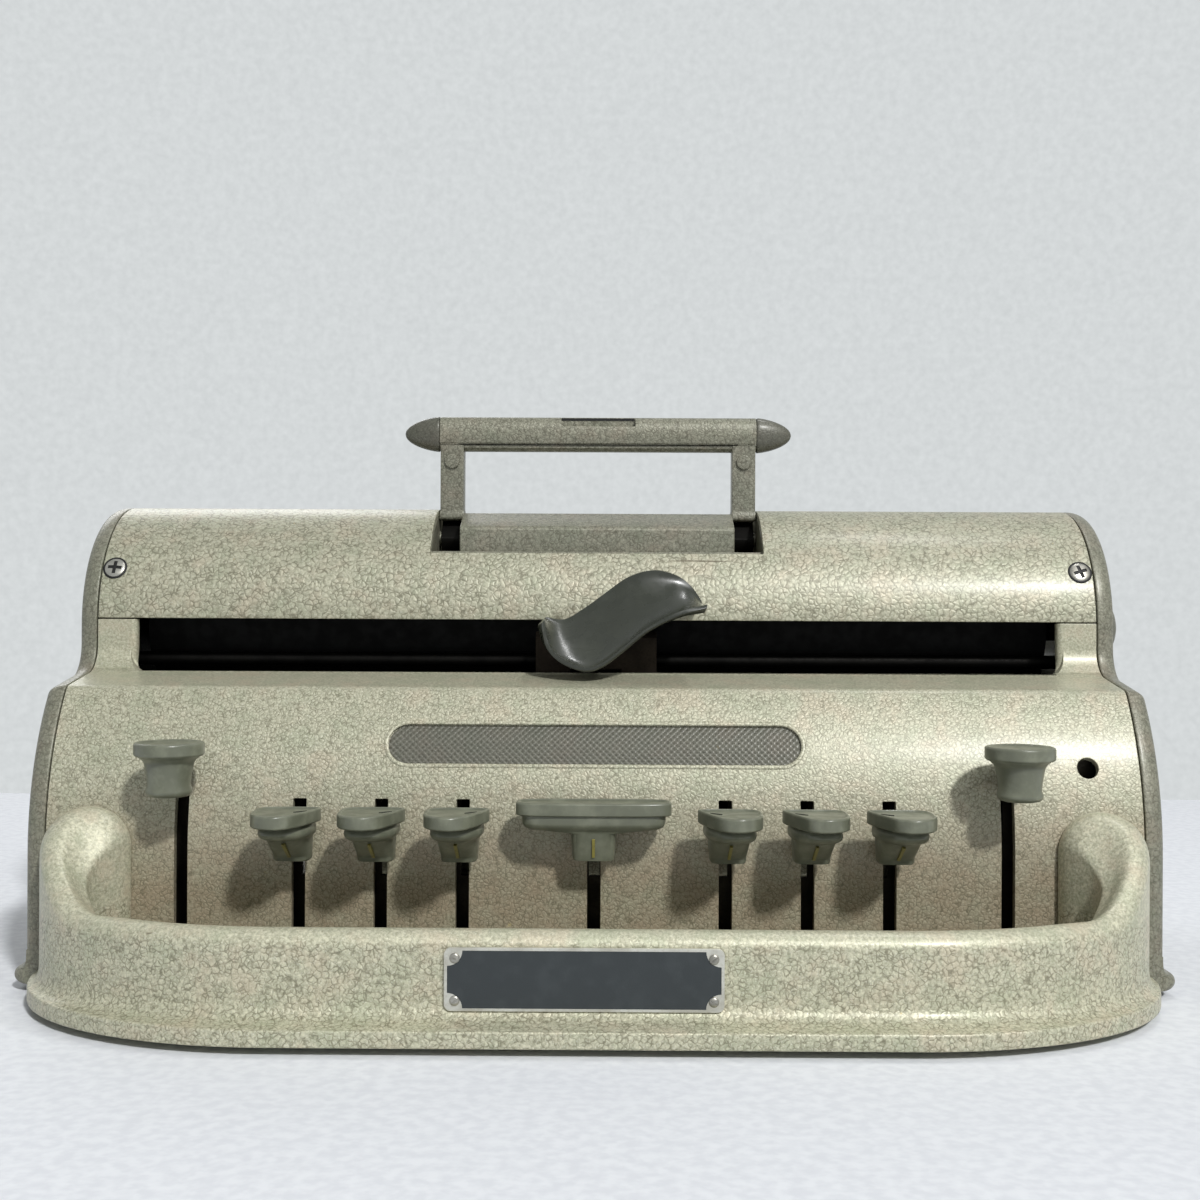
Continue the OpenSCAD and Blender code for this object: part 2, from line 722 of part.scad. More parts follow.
// Lever: boss on the shaft, arm through the panel, tongue in the cap, and a tail
// that carries a finger under its embossing bar. low and high bound the tongue.
module key_lever(x, low, high, tail) {
    boss_r = 6.4;
    color(steel) translate([x - lever_t / 2, 0, 0]) difference() {
        union() {
            rod_x(0, lever_t, pivot_y, pivot_z, 2 * boss_r);
            along_x(0, lever_t, [
                [tongue_y, low], [stem_rear_y + 1, low], [front_y + 8, low - 1.5],
                [pivot_y - 2, pivot_z - 6.05], [pivot_y + 3, pivot_z - 5.6],
                [pivot_y + 3, pivot_z + 5.6], [pivot_y - 2, pivot_z + 6.05],
                [front_y + 12, max(high + 2, pivot_z - 6.05)], [front_y + 2, high],
                [tongue_y, high]]);
            along_x(0, lever_t, [
                [pivot_y + 2, pivot_z - 9], [tail + 1, pivot_z - 9], [tail + 1, pivot_z],
                [tail - 1, pivot_z], [tail - 1, pivot_z - 5], [pivot_y + 5, pivot_z - 5],
                [pivot_y + 2, pivot_z - 3]]);
        }
        rod_x(-1, lever_t + 1, pivot_y, pivot_z, shaft_d + 2 * run_gap);
    }
}

module key_shaft() {
    color(steel) rod_x(-rod_half, rod_half, pivot_y, pivot_z, shaft_d);
}

key_xs = concat([for (k = [1:6]) dot_x(k)], [0, -round_key_x, round_key_x]);

module key_springs() {
    wire_r = 4.4;
    color(dark_steel) for (x = key_xs) difference() {
        rod_x(x + lever_t / 2 + 0.5, x + lever_t / 2 + 6.5, pivot_y, pivot_z, 2 * wire_r);
        rod_x(x, x + 10, pivot_y, pivot_z, shaft_d + 2 * run_gap);
    }
}

// Comb behind the panel that keeps the levers upright, and the end guides of the bars
module key_comb() {
    gap = 0.25;
    y0 = front_y + 14;
    bars_front = bar_y(1) - bar_t / 2 - 3;
    bars_rear = bar_y(6) + bar_t / 2 + 3;
    color(steel) {
        difference() {
            box([-inner_x + 0.3, y0, base_top_z], [inner_x - 0.3, y0 + 2, 76]);
            for (x = key_xs)
                box([x - lever_t / 2 - gap, y0 - 1, 36], [x + lever_t / 2 + gap, y0 + 3, 80]);
        }
        both_sides() difference() {
            union() {
                box([bar_half - 8, bars_front, base_top_z], [bar_half, bars_rear, bar_low_z - 2]);
                box([bar_half - 5, bars_front, base_top_z], [bar_half, bars_rear, bar_top_z - 0.5]);
            }
            for (k = [1:6])
                box([bar_half - 20, bar_y(k) - bar_t / 2 - 0.15, bar_low_z - touch_gap],
                    [bar_half + 20, bar_y(k) + bar_t / 2 + 0.15, bar_top_z + 1]);
        }
    }
}

// ---------------------------------------------------------------- embossing

module emboss_bar(k) {
    color(steel) box([-bar_half + 0.5, bar_y(k) - bar_t / 2, bar_low_z],
                     [bar_half - 0.5, bar_y(k) + bar_t / 2, bar_top_z]);
}

function pin_x(k) = (k % 2 == 1 ? -1 : 1) * pin_column / 2;

module emboss_pin(k) {
    low = bar_top_z + touch_gap;
    color(steel) translate([pin_x(k), bar_y(k), low]) {
        cylinder(d = pin_d, h = pin_top_z - low - 0.6, $fn = 24);
        translate([0, 0, pin_top_z - low - 0.6]) cylinder(d1 = pin_d, d2 = pin_d * 0.5, h = 0.6, $fn = 24);
    }
}

carriage_low_z = 79;
carriage_front_y = 0;
carriage_rear_y = rod_y + 4;
lever_pin_x = -1.5;
lever_pin_z = 109;
lever_pin_d = 4;
lever_pin_l = 7;

module carriage() {
    half = carriage_w / 2;
    color(dark_steel) difference() {
        union() {
            along_x(-half, half, [
                [carriage_front_y, carriage_low_z], [carriage_rear_y, carriage_low_z],
                [carriage_rear_y, rod_high_z + 3.4], [carriage_rear_y - 6, carriage_top_z],
                [carriage_front_y + 2, carriage_top_z], [carriage_front_y, carriage_top_z - 2]]);
            translate([lever_pin_x, carriage_front_y + 1, lever_pin_z]) rotate([90, 0, 0])
                cylinder(d = lever_pin_d, h = lever_pin_l + 1);
        }
        for (z = [rod_low_z, rod_high_z])
            rod_x(-half - 1, half + 1, rod_y, z, rod_d + 2 * run_gap);
        // the head is open above the pins, so that the paper passes over them
        box([-9, -10, pin_top_z], [9, bar_y(6) + pin_d / 2 + 0.3, pin_top_z + 4.4]);
        for (k = [1:6])
            translate([pin_x(k), bar_y(k), carriage_low_z - 1])
                cylinder(d = pin_d + 2 * run_gap, h = pin_top_z - carriage_low_z + 2, $fn = 24);
    }
}

// Front and rear edge of the scoop in X and Z, seen from in front
scoop_front = [[-18, 119.4], [-16.3, 111.5], [-11.1, 106.3], [-3.3, 103.6], [2.6, 105.3],
               [9.4, 110.4], [18, 117.3], [28.3, 122.4], [37.6, 124.8]];
scoop_rear = [[-18, 119.7], [-12.9, 115.2], [-7.5, 112.2], [-1.5, 113.6], [5.5, 120.2],
              [12.5, 127.4], [20.4, 131.6], [29, 131.2], [37.6, 125.2]];
scoop_front_y = -22;
scoop_rear_y = -5;

module head_lever() {
    n = len(scoop_front);
    stations = 5;
    edge = function (t, i) let (e = mix(scoop_front[i], scoop_rear[i], t))
        [e[0], mix(scoop_front_y + 2.6 * pow(abs(i - 4) / 4, 2), scoop_rear_y, t), e[1]];
    ring = function (t) concat(
        [for (i = [0:n - 1]) edge(t, i)],
        [for (i = [n - 1:-1:0]) edge(t, i) + [0, 0, scoop_t]]);
    color(lever_grey) difference() {
        union() {
            loft([for (s = [0:stations - 1]) ring(1 - s / (stations - 1))]);
            translate([lever_pin_x, carriage_front_y - 0.4, lever_pin_z]) rotate([90, 0, 0])
                cylinder(d = 8.4, h = lever_pin_l + 1.6);
        }
        translate([lever_pin_x, carriage_front_y + 1, lever_pin_z]) rotate([90, 0, 0])
            cylinder(d = lever_pin_d + 2 * run_gap, h = lever_pin_l + 1.5);
    }
}

module carriage_rods() {
    color(steel) for (z = [rod_low_z, rod_high_z]) rod_x(-rod_half, rod_half, rod_y, z, rod_d);
}

module escapement_rack() {
    teeth = floor(2 * bar_half / cell_pitch);
    x0 = -teeth * cell_pitch / 2;
    y0 = carriage_rear_y + 0.5;
    low = 93;
    outline = concat(
        [[-inner_x + 0.3, low - 5], [inner_x - 0.3, low - 5], [inner_x - 0.3, low]],
        [[-x0, low]],
        [for (i = [teeth - 1:-1:0]) each [
            [x0 + (i + 0.15) * cell_pitch, low + 3.4], [x0 + i * cell_pitch, low]]],
        [[-inner_x + 0.3, low]]);
    color(steel) translate([0, y0 + 2.4, 0]) rotate([90, 0, 0]) linear_extrude(2.4) polygon(outline);
}

// ---------------------------------------------------------------- paper feed

module paper_roller() {
    roller_half = inner_x - 11;
    color(rubber) {
        rod_x(-roller_half, roller_half, roller_y, roller_z, 2 * roller_r);
        end_x = knob_end_x - knob_floor - 1;
        rod_x(-end_x, end_x, roller_y, roller_z, roller_shaft_d);
    }
}

module feed_knobs() {
    length = knob_l;
    r = knob_d / 2;
    color(lever_grey) both_sides()
        translate([case_half_w + knob_gap, roller_y, roller_z]) rotate([0, 90, 0])
            difference() {
                rotate_extrude() polygon([
                    [0, 0], [r - 2, 0], [r - 0.4, 0.8], [r, 2], [r, length * 0.45],
                    [r - 1, length * 0.68], [r - 3.4, length * 0.85], [r - 7, length * 0.96],
                    [0, length]]);
                for (a = [0:20:340]) rotate([0, 0, a])
                    translate([r + 0.6, 0, -1]) cylinder(r = 1.5, h = length * 0.6, $fn = 16);
                translate([0, 0, -1]) 
                    cylinder(d = roller_shaft_d + 2 * run_gap, h = length - knob_floor + 1);
            }
}

module line_ratchet() {
    r = 24;
    x0 = -(inner_x - 4);
    step = 360 / ratchet_teeth;
    color(steel) difference() {
        along_x(x0, x0 + 3, [for (i = [0:ratchet_teeth - 1]) each [
            [roller_y + r * cos(i * step), roller_z + r * sin(i * step)],
            [roller_y + (r - 2.6) * cos((i + 0.85) * step),
             roller_z + (r - 2.6) * sin((i + 0.85) * step)]]]);
        rod_x(x0 - 1, x0 + 4, roller_y, roller_z, roller_shaft_d + 2 * run_gap);
    }
}

module paper_release() {
    lever_x = case_half_w + 1;
    color(steel) {
        rod_x(-lever_x - 5, lever_x + 5, release_y, release_z, release_d);
        both_sides() along_x(lever_x, lever_x + 4, concat(
            arc_pts(release_y, release_z, 6, 170, 350, 8),
            arc_pts(release_y + 9, release_z + 30, 4.2, -10, 170, 8)));
    }
}

// ---------------------------------------------------------------- handle

module handle_bracket() {
    wall = 2.2;
    out_x = notch_half_w + wall;
    front = notch_front_y + 1.5;
    rear = notch_rear_y + wall;
    floor_z = handle_pivot_z - 10;
    block_half = arm_x - arm_w / 2 - 0.5;
    color(enamel) {
        // tray under the notch, cut to the inside of the cover
        intersection() {
            difference() {
                box([-out_x, front, floor_z], [out_x, rear, 170]);
                box([-notch_half_w, front + wall, floor_z + wall], [notch_half_w, notch_rear_y, 171]);
            }
            rod_x(-out_x - 1, out_x + 1, roller_y, roller_z, 2 * (crest_r - cover_t - 0.2));
        }
        // block between the arms
        block_front = notch_front_y + 8;
        block_rear = notch_rear_y - 4;
        crest = crest_z + crest_r - 2;
        along_x(-block_half, block_half, [
            [block_front, floor_z + 1], [block_rear, floor_z + 1], [block_rear, crest - 3],
            [block_rear - 3, crest], [block_front + 13, crest], [block_front + 1, crest - 5.3],
            [block_front, crest - 6.4]]);
        both_sides() rod_x(block_half - 1, notch_half_w + 1, handle_pivot_y, handle_pivot_z, handle_pin_d);
    }
}

module carry_handle() {
    low = handle_z - handle_h / 2;
    straight = handle_half - handle_point;
    ring = function (x, k) [for (a = [0:24:336])
        [x, handle_pivot_y + k * handle_t / 2 * sgn_pow(cos(a), 0.7),
         handle_z + k * handle_h / 2 * sgn_pow(sin(a), 0.7)]];
    point = function (t) sqrt(max(0.004, 1 - pow(t, 1.5)));
    ends = [1, 0.92, 0.75, 0.5, 0.25];
    color(enamel) {
        difference() {
            loft(concat(
                [for (t = ends) ring(-straight - t * handle_point, point(t))],
                [ring(-straight, 1), ring(straight, 1)],
                [for (t = reversed(ends)) ring(straight + t * handle_point, point(t))]));
            // finger notch in the top edge
            box([-14, handle_pivot_y - handle_t, handle_z + handle_h / 2 - 2.4],
                [14, handle_pivot_y - 1, handle_z + handle_h]);
        }
        both_sides() difference() {
            union() {
                along_x(arm_x - arm_w / 2, arm_x + arm_w / 2, concat(
                    arc_pts(handle_pivot_y, handle_pivot_z, 5, 180, 360, 10),
                    [[handle_pivot_y + 3.6, handle_pivot_z + 12], [handle_pivot_y + 3.6, low + 4],
                     [handle_pivot_y - 3.6, low + 4], [handle_pivot_y - 3.6, handle_pivot_z + 12]]));
                translate([arm_x, handle_pivot_y - 3, low - 3.8]) rotate([90, 0, 0])
                    cylinder(d = 5.6, h = 1.2);
            }
            rod_x(arm_x - arm_w, arm_x + arm_w, handle_pivot_y, handle_pivot_z,
                  handle_pin_d + 2 * run_gap);
        }
    }
}

// ---------------------------------------------------------------- rear and inside

module margin_rail() {
    color(steel) rod_x(-rod_half, rod_half, margin_y, margin_z, margin_rail_d);
}

module margin_stop() {
    difference() {
        union() {
            rod_x(-6, 6, margin_y, margin_z, 11);
            box([-4, margin_y - 1, margin_z - 1], [4, margin_y + 5, margin_z + 7]);
        }
        rod_x(-7, 7, margin_y, margin_z, margin_rail_d + 2 * run_gap);
    }
}

stop_x = inner_x - 41.3;

module reading_rest() {
    // a plate on the rear slope, hinged above the rear cover on a wire through its ears
    w = inner_x - 12;
    t = 1.6;
    low = rear_cover_top_z + 3.4;
    y = function (z) rear_slope_y(z) - 0.2;
    color(enamel) {
        along_x(-w, w, [[y(low) - t, low], [y(low), low], [y(rest_top_z), rest_top_z],
                        [y(rest_top_z) - t, rest_top_z]]);
        rod_x(-w, w, rest_y, rest_z, 3);
    }
}

rest_z = rear_cover_top_z + 3;
rest_y = rear_slope_y(rest_z) - 1.6;

module bell() {
    color(steel) translate([-inner_x + 56.3, rear_y - 44.5, base_top_z]) {
        cylinder(d = 6, h = 24);
        translate([0, 0, 12]) rotate_extrude()
            polygon([[20, 0], [19.6, 3], [17, 8], [12, 11.4], [5, 12.8], [0, 13], [0, 11.6],
                     [5, 11.4], [11.4, 10], [15.8, 7], [18.2, 2.6], [18.6, 0]]);
    }
}

drum_x = inner_x - 56.3;
drum_y = rear_y - 50.5;

module mainspring_drum() {
    color(steel) translate([drum_x, drum_y, base_top_z + 0.3]) difference() {
        rotate_extrude() polygon([[0, 0], [24, 0], [24, 1.6], [22, 2.4], [22, 11], [24, 11.8],
                                  [24, 13.4], [6, 13.4], [6, 15.4], [0, 15.4]]);
        translate([0, 0, -1]) cylinder(d = 6, h = 5);
    }
}

// ---------------------------------------------------------------- drawing

left_end_plate();
right_end_plate();
front_guard();
front_cover();
top_cover();
rear_cover();
base_plate();
handle_bracket();
cover_screws();
guard_plate();
guard_plate_screws();
rubber_feet();
carriage_rods();
escapement_rack();
key_shaft();
key_comb();
key_springs();
margin_rail();
bell();
carry_handle();
carriage();
head_lever();
paper_roller();
feed_knobs();
line_ratchet();
paper_release();
color(steel) translate([-stop_x, 0, 0]) margin_stop();  // left_margin_stop
color(steel) translate([stop_x, 0, 0]) margin_stop();  // right_margin_stop
mainspring_drum();
reading_rest();
for (k = [1:6]) {
    color(key_grey) translate([dot_x(k), 0, 0]) mirror([k > 3 ? 1 : 0, 0, 0]) dot_cap();
    key_lever(dot_x(k), dot_top_z - dot_tongue[0], dot_top_z - dot_tongue[1], bar_y(k));
    emboss_bar(k);
    emboss_pin(k);
}
space_cap();
key_lever(0, dot_top_z - dot_tongue[0], dot_top_z - dot_tongue[1], pivot_y + idle_tail);  // space_lever
color(key_grey) translate([-round_key_x, 0, 0]) round_cap();  // line_key_cap
key_lever(-round_key_x, round_top_z - round_tongue[0], round_top_z - round_tongue[1],  // line_key_lever
              pivot_y + idle_tail);
color(key_grey) translate([round_key_x, 0, 0]) round_cap();  // back_key_cap
key_lever(round_key_x, round_top_z - round_tongue[0], round_top_z - round_tongue[1],  // back_key_lever
              pivot_y + idle_tail);
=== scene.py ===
"""Manual braille writer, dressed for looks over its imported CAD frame.

Sizes are in millimetres until a mesh is made. X runs to the right seen from the keys,
Y to the back and Z up, with the origin on the table under the middle of the machine.
"""
import json
import math

import bmesh
import bpy
from mathutils import Matrix, Vector


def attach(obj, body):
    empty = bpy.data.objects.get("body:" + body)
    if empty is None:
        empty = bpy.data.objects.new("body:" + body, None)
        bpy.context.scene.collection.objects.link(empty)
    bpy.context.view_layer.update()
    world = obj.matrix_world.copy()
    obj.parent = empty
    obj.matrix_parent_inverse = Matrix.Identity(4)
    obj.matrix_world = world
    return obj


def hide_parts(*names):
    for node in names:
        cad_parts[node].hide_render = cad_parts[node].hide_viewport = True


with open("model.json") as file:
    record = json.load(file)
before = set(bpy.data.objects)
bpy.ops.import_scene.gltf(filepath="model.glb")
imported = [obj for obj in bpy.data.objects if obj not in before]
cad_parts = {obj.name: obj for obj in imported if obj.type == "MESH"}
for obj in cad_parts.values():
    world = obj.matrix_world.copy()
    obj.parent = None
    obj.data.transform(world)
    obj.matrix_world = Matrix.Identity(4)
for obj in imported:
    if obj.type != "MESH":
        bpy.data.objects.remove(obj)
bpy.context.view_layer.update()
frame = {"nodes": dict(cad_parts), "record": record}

MM = 0.001

# -------- sizes
# They follow the CAD source. The rim, outer face, seam, slot corner and edge, flange root, dot
# caps, bar height, knob diameter and scoop curves are finer here, from the photograph.

# casing and end plates
CASE_HALF_W = 181.8
PLATE_T = 5.5
INNER_X = CASE_HALF_W - PLATE_T
RIM_R, RIM_W = 3.7, 5.4
PLATE_OUT_X = CASE_HALF_W + 1.0
FRONT_Y, REAR_Y, BOTTOM_Z = -48.6, 114.5, 2.5
BELLY_Z, BELLY_R = 44.5, 84.0
BELLY_Y = FRONT_Y + BELLY_R
LEDGE_Z, LEDGE_SLOPE, LEDGE_FILLET_R, LEDGE_EDGE_R = 97.5, 8.9, 10.0, 1.7
CREST_R, CREST_Z = 43.8, 117.2
WALL_T, COVER_T, BASE_T = 3.0, 2.2, 3.0
SEAM = 0.4
FLANGE_OUT = 5.9
SHAFT_HOLE_D, RELEASE_HOLE_D = 10.6, 6.6
RELEASE_Y, RELEASE_Z = 72.0, 98.0

# paper slot, name recess, hole and screws
SLOT_HALF_W, SLOT_LOW_Z, COVER_LOW_Z, SLOT_CORNER_R, SLOT_EDGE_R = 162.0, 100.9, 119.8, 5.0, 2.0
BADGE_Z, BADGE_HALF, BADGE_H, BADGE_DEPTH = 80.0, 67.4, 14.0, 1.2
HOLE_X, HOLE_Z, HOLE_D = 159.2, 73.4, 6.8
SCREW_X, SCREW_DEG, REAR_SCREW_DEG = INNER_X - 4.8, 27.6, 72.0
SCREW_HEAD_R, SCREW_RING_R = 3.6, 4.25

# guard and its plate
GUARD_FRONT_Y, GUARD_STRAIGHT = -114.5, 90.0
GUARD_FLANGE, GUARD_FLANGE_SIDE, GUARD_T, POST_W = 9.0, 3.0, 10.0, 27.0
BEAD_Z, POST_Z, FLANGE_EDGE_Z, FLANGE_ROOT_Z = 33.0, 60.0, 7.5, 14.5
GUARD_WALL_Y = GUARD_FRONT_Y + GUARD_FLANGE
GUARD_AX = INNER_X - 1.3 - GUARD_STRAIGHT
GUARD_BY = FRONT_Y - GUARD_WALL_Y
PLATE_W, PLATE_H, PLATE_THICK, PLATE_X = 79.0, 18.0, 1.0, -2.0
PLATE_Z = 11 + PLATE_H / 2
PLATE_Y = GUARD_WALL_Y - 0.2
PLATE_FACE_Y = PLATE_Y - PLATE_THICK
PLATE_SCREW_INSET, PLATE_SCREW_R = 3.0, 1.45

# keys
KEY_PITCH, FIRST_KEY_X, ROUND_KEY_X = 26.25, 42.1, 132.4
KEY_SLOT_W, KEY_SLOT_TOP, KEY_SLOT_LOW, ROUND_SLOT_TOP = 4.2, 62.6, 21.0, 79.0
DOT_TOP_Z, DOT_FRONT_Y, DOT_LEN, DOT_CORNER = 62.0, -83.9, 23.7, 18.0
STEM_FRONT_Y, STEM_REAR_Y = -61.6, -52.6
ROUND_TOP_Z, ROUND_FOOT_Z, ROUND_KEY_Y, ROUND_KEY_D = 82.0, 65.0, -61.6, 21.6
SPACE_W, SPACE_FRONT_Y, SPACE_REAR_Y = 48.6, -66.0, -52.8
SLIT_X, SLIT_Y = 4.4, -67.6
DOT_X = {k: -(FIRST_KEY_X + (k - 1) * KEY_PITCH) for k in (1, 2, 3)}
DOT_X.update({k: FIRST_KEY_X + (k - 4) * KEY_PITCH for k in (4, 5, 6)})

# carrying handle, top cover and knobs
HANDLE_Z, HANDLE_PIVOT_Y, HANDLE_PIVOT_Z = 189.35, 40.0, 150.0
HANDLE_H, HANDLE_T, HANDLE_HALF, HANDLE_POINT = 13.3, 9.0, 73.0, 13.2
HANDLE_TOP, HANDLE_LOW = HANDLE_Z + HANDLE_H / 2, HANDLE_Z - HANDLE_H / 2
GRIP_NOTCH_HALF, GRIP_NOTCH_DEPTH, GRIP_NOTCH_Y = 14.0, 3.7, HANDLE_PIVOT_Y - 0.8
ARM_X, ARM_W = 54.9, 8.8
NOTCH_HALF_W, NOTCH_FRONT_Y, NOTCH_REAR_Y = 59.7, 9.0, 52.0
COVER_REAR_Z = 133.0
KNOB_D, KNOB_L, KNOB_GAP, KNOB_FLUTES, LEFT_KNOB_SHORT = 28.0, 14.8, 0.4, 18, 1.2

# head lever: its front and rear rims in X and Z
SCOOP_FRONT = [(-18, 119.4), (-16.3, 111.5), (-11.1, 106.3), (-3.3, 103.6), (2.6, 105.3),
               (9.4, 110.4), (18, 117.3), (28.3, 122.4), (37.6, 124.8)]
SCOOP_REAR = [(-18, 120.4), (-11.1, 119.6), (-4.2, 123.4), (3.7, 129.2), (11.6, 134.6), (20, 136.8),
              (27.5, 135.2), (32.6, 131.6), (36.6, 125.8)]
SCOOP_FRONT_Y, SCOOP_REAR_Y = -22.0, -5.0
BOSS_D, BOSS_L, BOSS_PLACE = 8.4, 8.6, (-1.5, -0.4, 109.0)


def smooth(t):
    """Smooth step of t from 0 to 1."""
    s = min(1.0, max(0.0, t))
    return s * s * (3 - 2 * s)


def mix(a, b, t):
    return a + (b - a) * t


def cosd(a):
    return math.cos(math.radians(a))


def sind(a):
    return math.sin(math.radians(a))


def turns(n):
    """n angles round a circle, in radians."""
    return [2 * math.pi * i / n for i in range(n)]


def arc(cy, cz, r, a0, a1, n):
    """Points on an arc from angle a0 to a1, in degrees."""
    return [(cy + r * cosd(a), cz + r * sind(a)) for a in (mix(a0, a1, i / n) for i in range(n + 1))]


LEDGE_DEG = math.degrees(math.asin((LEDGE_Z - BELLY_Z) / BELLY_R))
LEDGE_Y = BELLY_Y - BELLY_R * cosd(LEDGE_DEG)
SLOPE = math.radians(LEDGE_SLOPE)
FILLET_Z = LEDGE_Z + (-LEDGE_FILLET_R - LEDGE_Y) * math.tan(SLOPE) + LEDGE_FILLET_R / math.cos(SLOPE)
ROLLER_Y, ROLLER_Z = CREST_R, CREST_Z
REAR_DIST = math.hypot(REAR_Y - ROLLER_Y, BOTTOM_Z - ROLLER_Z)
REAR_DEG = math.degrees(math.acos(CREST_R / REAR_DIST)
                        - math.atan2(ROLLER_Z - BOTTOM_Z, REAR_Y - ROLLER_Y))


def rounded(a, corner, b, r, n=4):
    """The corner between a and b eased over the length r on each side."""
    a, corner, b = Vector(a), Vector(corner), Vector(b)
    p = corner + (a - corner).normalized() * r
    q = corner + (b - corner).normalized() * r
    return [tuple(p * (1 - t) ** 2 + corner * 2 * t * (1 - t) + q * t * t)
            for t in (i / n for i in range(n + 1))]


def front_outline():
    """Side view of the casing's front, in Y and Z, from the foot to the start of the crest."""
    belly = arc(BELLY_Y, BELLY_Z, BELLY_R, 180, 180 - LEDGE_DEG, 30)
    fillet = arc(-LEDGE_FILLET_R, FILLET_Z, LEDGE_FILLET_R, LEDGE_SLOPE - 90, 0, 12)
    edge = rounded(belly[-2], belly[-1], fillet[0], LEDGE_EDGE_R)
    return [(FRONT_Y, BOTTOM_Z)] + belly[:-1] + edge + fillet


def case_outline():
    """The whole side view, counter-clockwise seen from +X."""
    crest = arc(ROLLER_Y, ROLLER_Z, CREST_R, 180, REAR_DEG, 70)
    return list(reversed(front_outline() + crest + [(REAR_Y, BOTTOM_Z)]))


def rear_slope_y(z):
    """Depth of the casing's back at the height z."""
    return REAR_Y - (z - BOTTOM_Z) * math.tan(math.radians(REAR_DEG))


def panel_angle(z):
    """Lean of the keyboard panel at the height z, in radians."""
    return math.asin(max(0.0, z - BELLY_Z) / BELLY_R)


def panel_y(z):
    return BELLY_Y - BELLY_R * math.cos(panel_angle(z))


def inset(points, d):
    """A closed counter-clockwise outline drawn in by d."""
    out, n = [], len(points)
    for i, p in enumerate(points):
        a = (Vector(p) - Vector(points[i - 1])).normalized()
        b = (Vector(points[(i + 1) % n]) - Vector(p)).normalized()
        m = Vector((-a.y - b.y, a.x + b.x))
        out.append(tuple(Vector(p) + m * d * 2 / m.length_squared))
    return out


# -------- mesh helpers

def new_object(name, mesh):
    obj = bpy.data.objects.new(name, mesh)
    bpy.context.scene.collection.objects.link(obj)
    return obj


def mesh_of(name, verts, faces):
    """A mesh from points in millimetres, with its faces turned outwards."""
    mesh = bpy.data.meshes.new(name)
    mesh.from_pydata([Vector(v) * MM for v in verts], [], faces)
    bm = bmesh.new()
    bm.from_mesh(mesh)
    bmesh.ops.remove_doubles(bm, verts=bm.verts, dist=1e-7)
    bmesh.ops.recalc_face_normals(bm, faces=bm.faces)
    bm.to_mesh(mesh)
    bm.free()
    return mesh


def loft(rings, closed=False):
    """Points and faces of a solid through rings that all have the same count. It ends in
    flat caps, or runs back to its first ring where closed."""
    n, count = len(rings[0]), len(rings)
    faces = [(k * n + i, k * n + (i + 1) % n, (k + 1) % count * n + (i + 1) % n, (k + 1) % count * n + i)
             for k in range(count if closed else count - 1) for i in range(n)]
    if not closed:
        faces += [tuple(reversed(range(n))), tuple((count - 1) * n + i for i in range(n))]
    return [p for ring in rings for p in ring], faces


def along_x(x0, x1, outline):
    """Prism of a Y-Z outline between two places along X."""
    return loft([[(x, y, z) for y, z in outline] for x in (x0, x1)])


def box(a, b):
    """Block between its lowest and highest corners."""
    return loft([[(x, a[1], a[2]), (x, b[1], a[2]), (x, b[1], b[2]), (x, a[1], b[2])]
                 for x in (a[0], b[0])])


def revolve(profile, place, steps=48):
    """Solid of revolution about Z of (radius, height) points, the first and last on the axis."""
    return loft([[tuple(place @ Vector((r * math.cos(a), r * math.sin(a), z))) for a in turns(steps)]
                 for r, z in profile])


def rod(d, length, place, steps=32):
    """Round bar from the place along its Z."""
    return revolve([(0, 0), (d / 2, 0), (d / 2, length), (0, length)], place, steps)


def turned(x, y, z, axis, degrees):
    """Frame at a place, turned about one axis."""
    return Matrix.Translation((x, y, z)) @ Matrix.Rotation(math.radians(degrees), 4, axis)


def joined(*solids):
    """Several (points, faces) pairs as one."""
    verts, faces = [], []
    for v, f in solids:
        faces += [tuple(i + len(verts) for i in face) for face in f]
        verts += v
    return verts, faces


def as_mesh(name, shape):
    """The shape itself where it is a mesh, or a new mesh of (points, faces)."""
    return mesh_of(name, *shape) if isinstance(shape, tuple) else shape


def mirrored(shape):
    """A mesh that is the shape's mirror image across the middle plane."""
    mesh = as_mesh("mirror", shape).copy()
    mesh.transform(Matrix.Scale(-1, 4, (1, 0, 0)))
    mesh.flip_normals()
    return mesh


def combined(mesh, other, operation):
    """mesh cut by, or united with, other."""
    a = new_object("work_a", mesh)
    b = new_object("work_b", other)
    mod = a.modifiers.new("combine", "BOOLEAN")
    mod.operation, mod.solver, mod.object = operation, "EXACT", b
    mod.use_self = operation == "UNION"
    out = evaluated(a)
    for o in (a, b):
        bpy.data.objects.remove(o)
    return out


def evaluated(obj):
    """The object's mesh with its modifiers applied."""
    bpy.context.view_layer.update()
    graph = bpy.context.evaluated_depsgraph_get()
    return bpy.data.meshes.new_from_object(obj.evaluated_get(graph))


def cut(solid, *cutters, operation="DIFFERENCE"):
    """The solid, a mesh or (points, faces), with the cutters taken out of it."""
    mesh = as_mesh("work", solid)
    for c in cutters:
        mesh = combined(mesh, mesh_of("cutter", *c), operation)
    return mesh


def united(solid, *others):
    return cut(solid, *others, operation="UNION")


def tidy(mesh, flat_deg=0.4):
    """Welds stray doubles and merges faces that lie in one plane."""
    bm = bmesh.new()
    bm.from_mesh(mesh)
    bmesh.ops.remove_doubles(bm, verts=bm.verts, dist=2e-6)
    bmesh.ops.dissolve_degenerate(bm, edges=bm.edges, dist=2e-6)
    bmesh.ops.dissolve_limit(bm, angle_limit=math.radians(flat_deg), verts=bm.verts, edges=bm.edges)
    bm.to_mesh(mesh)
    bm.free()
    return mesh


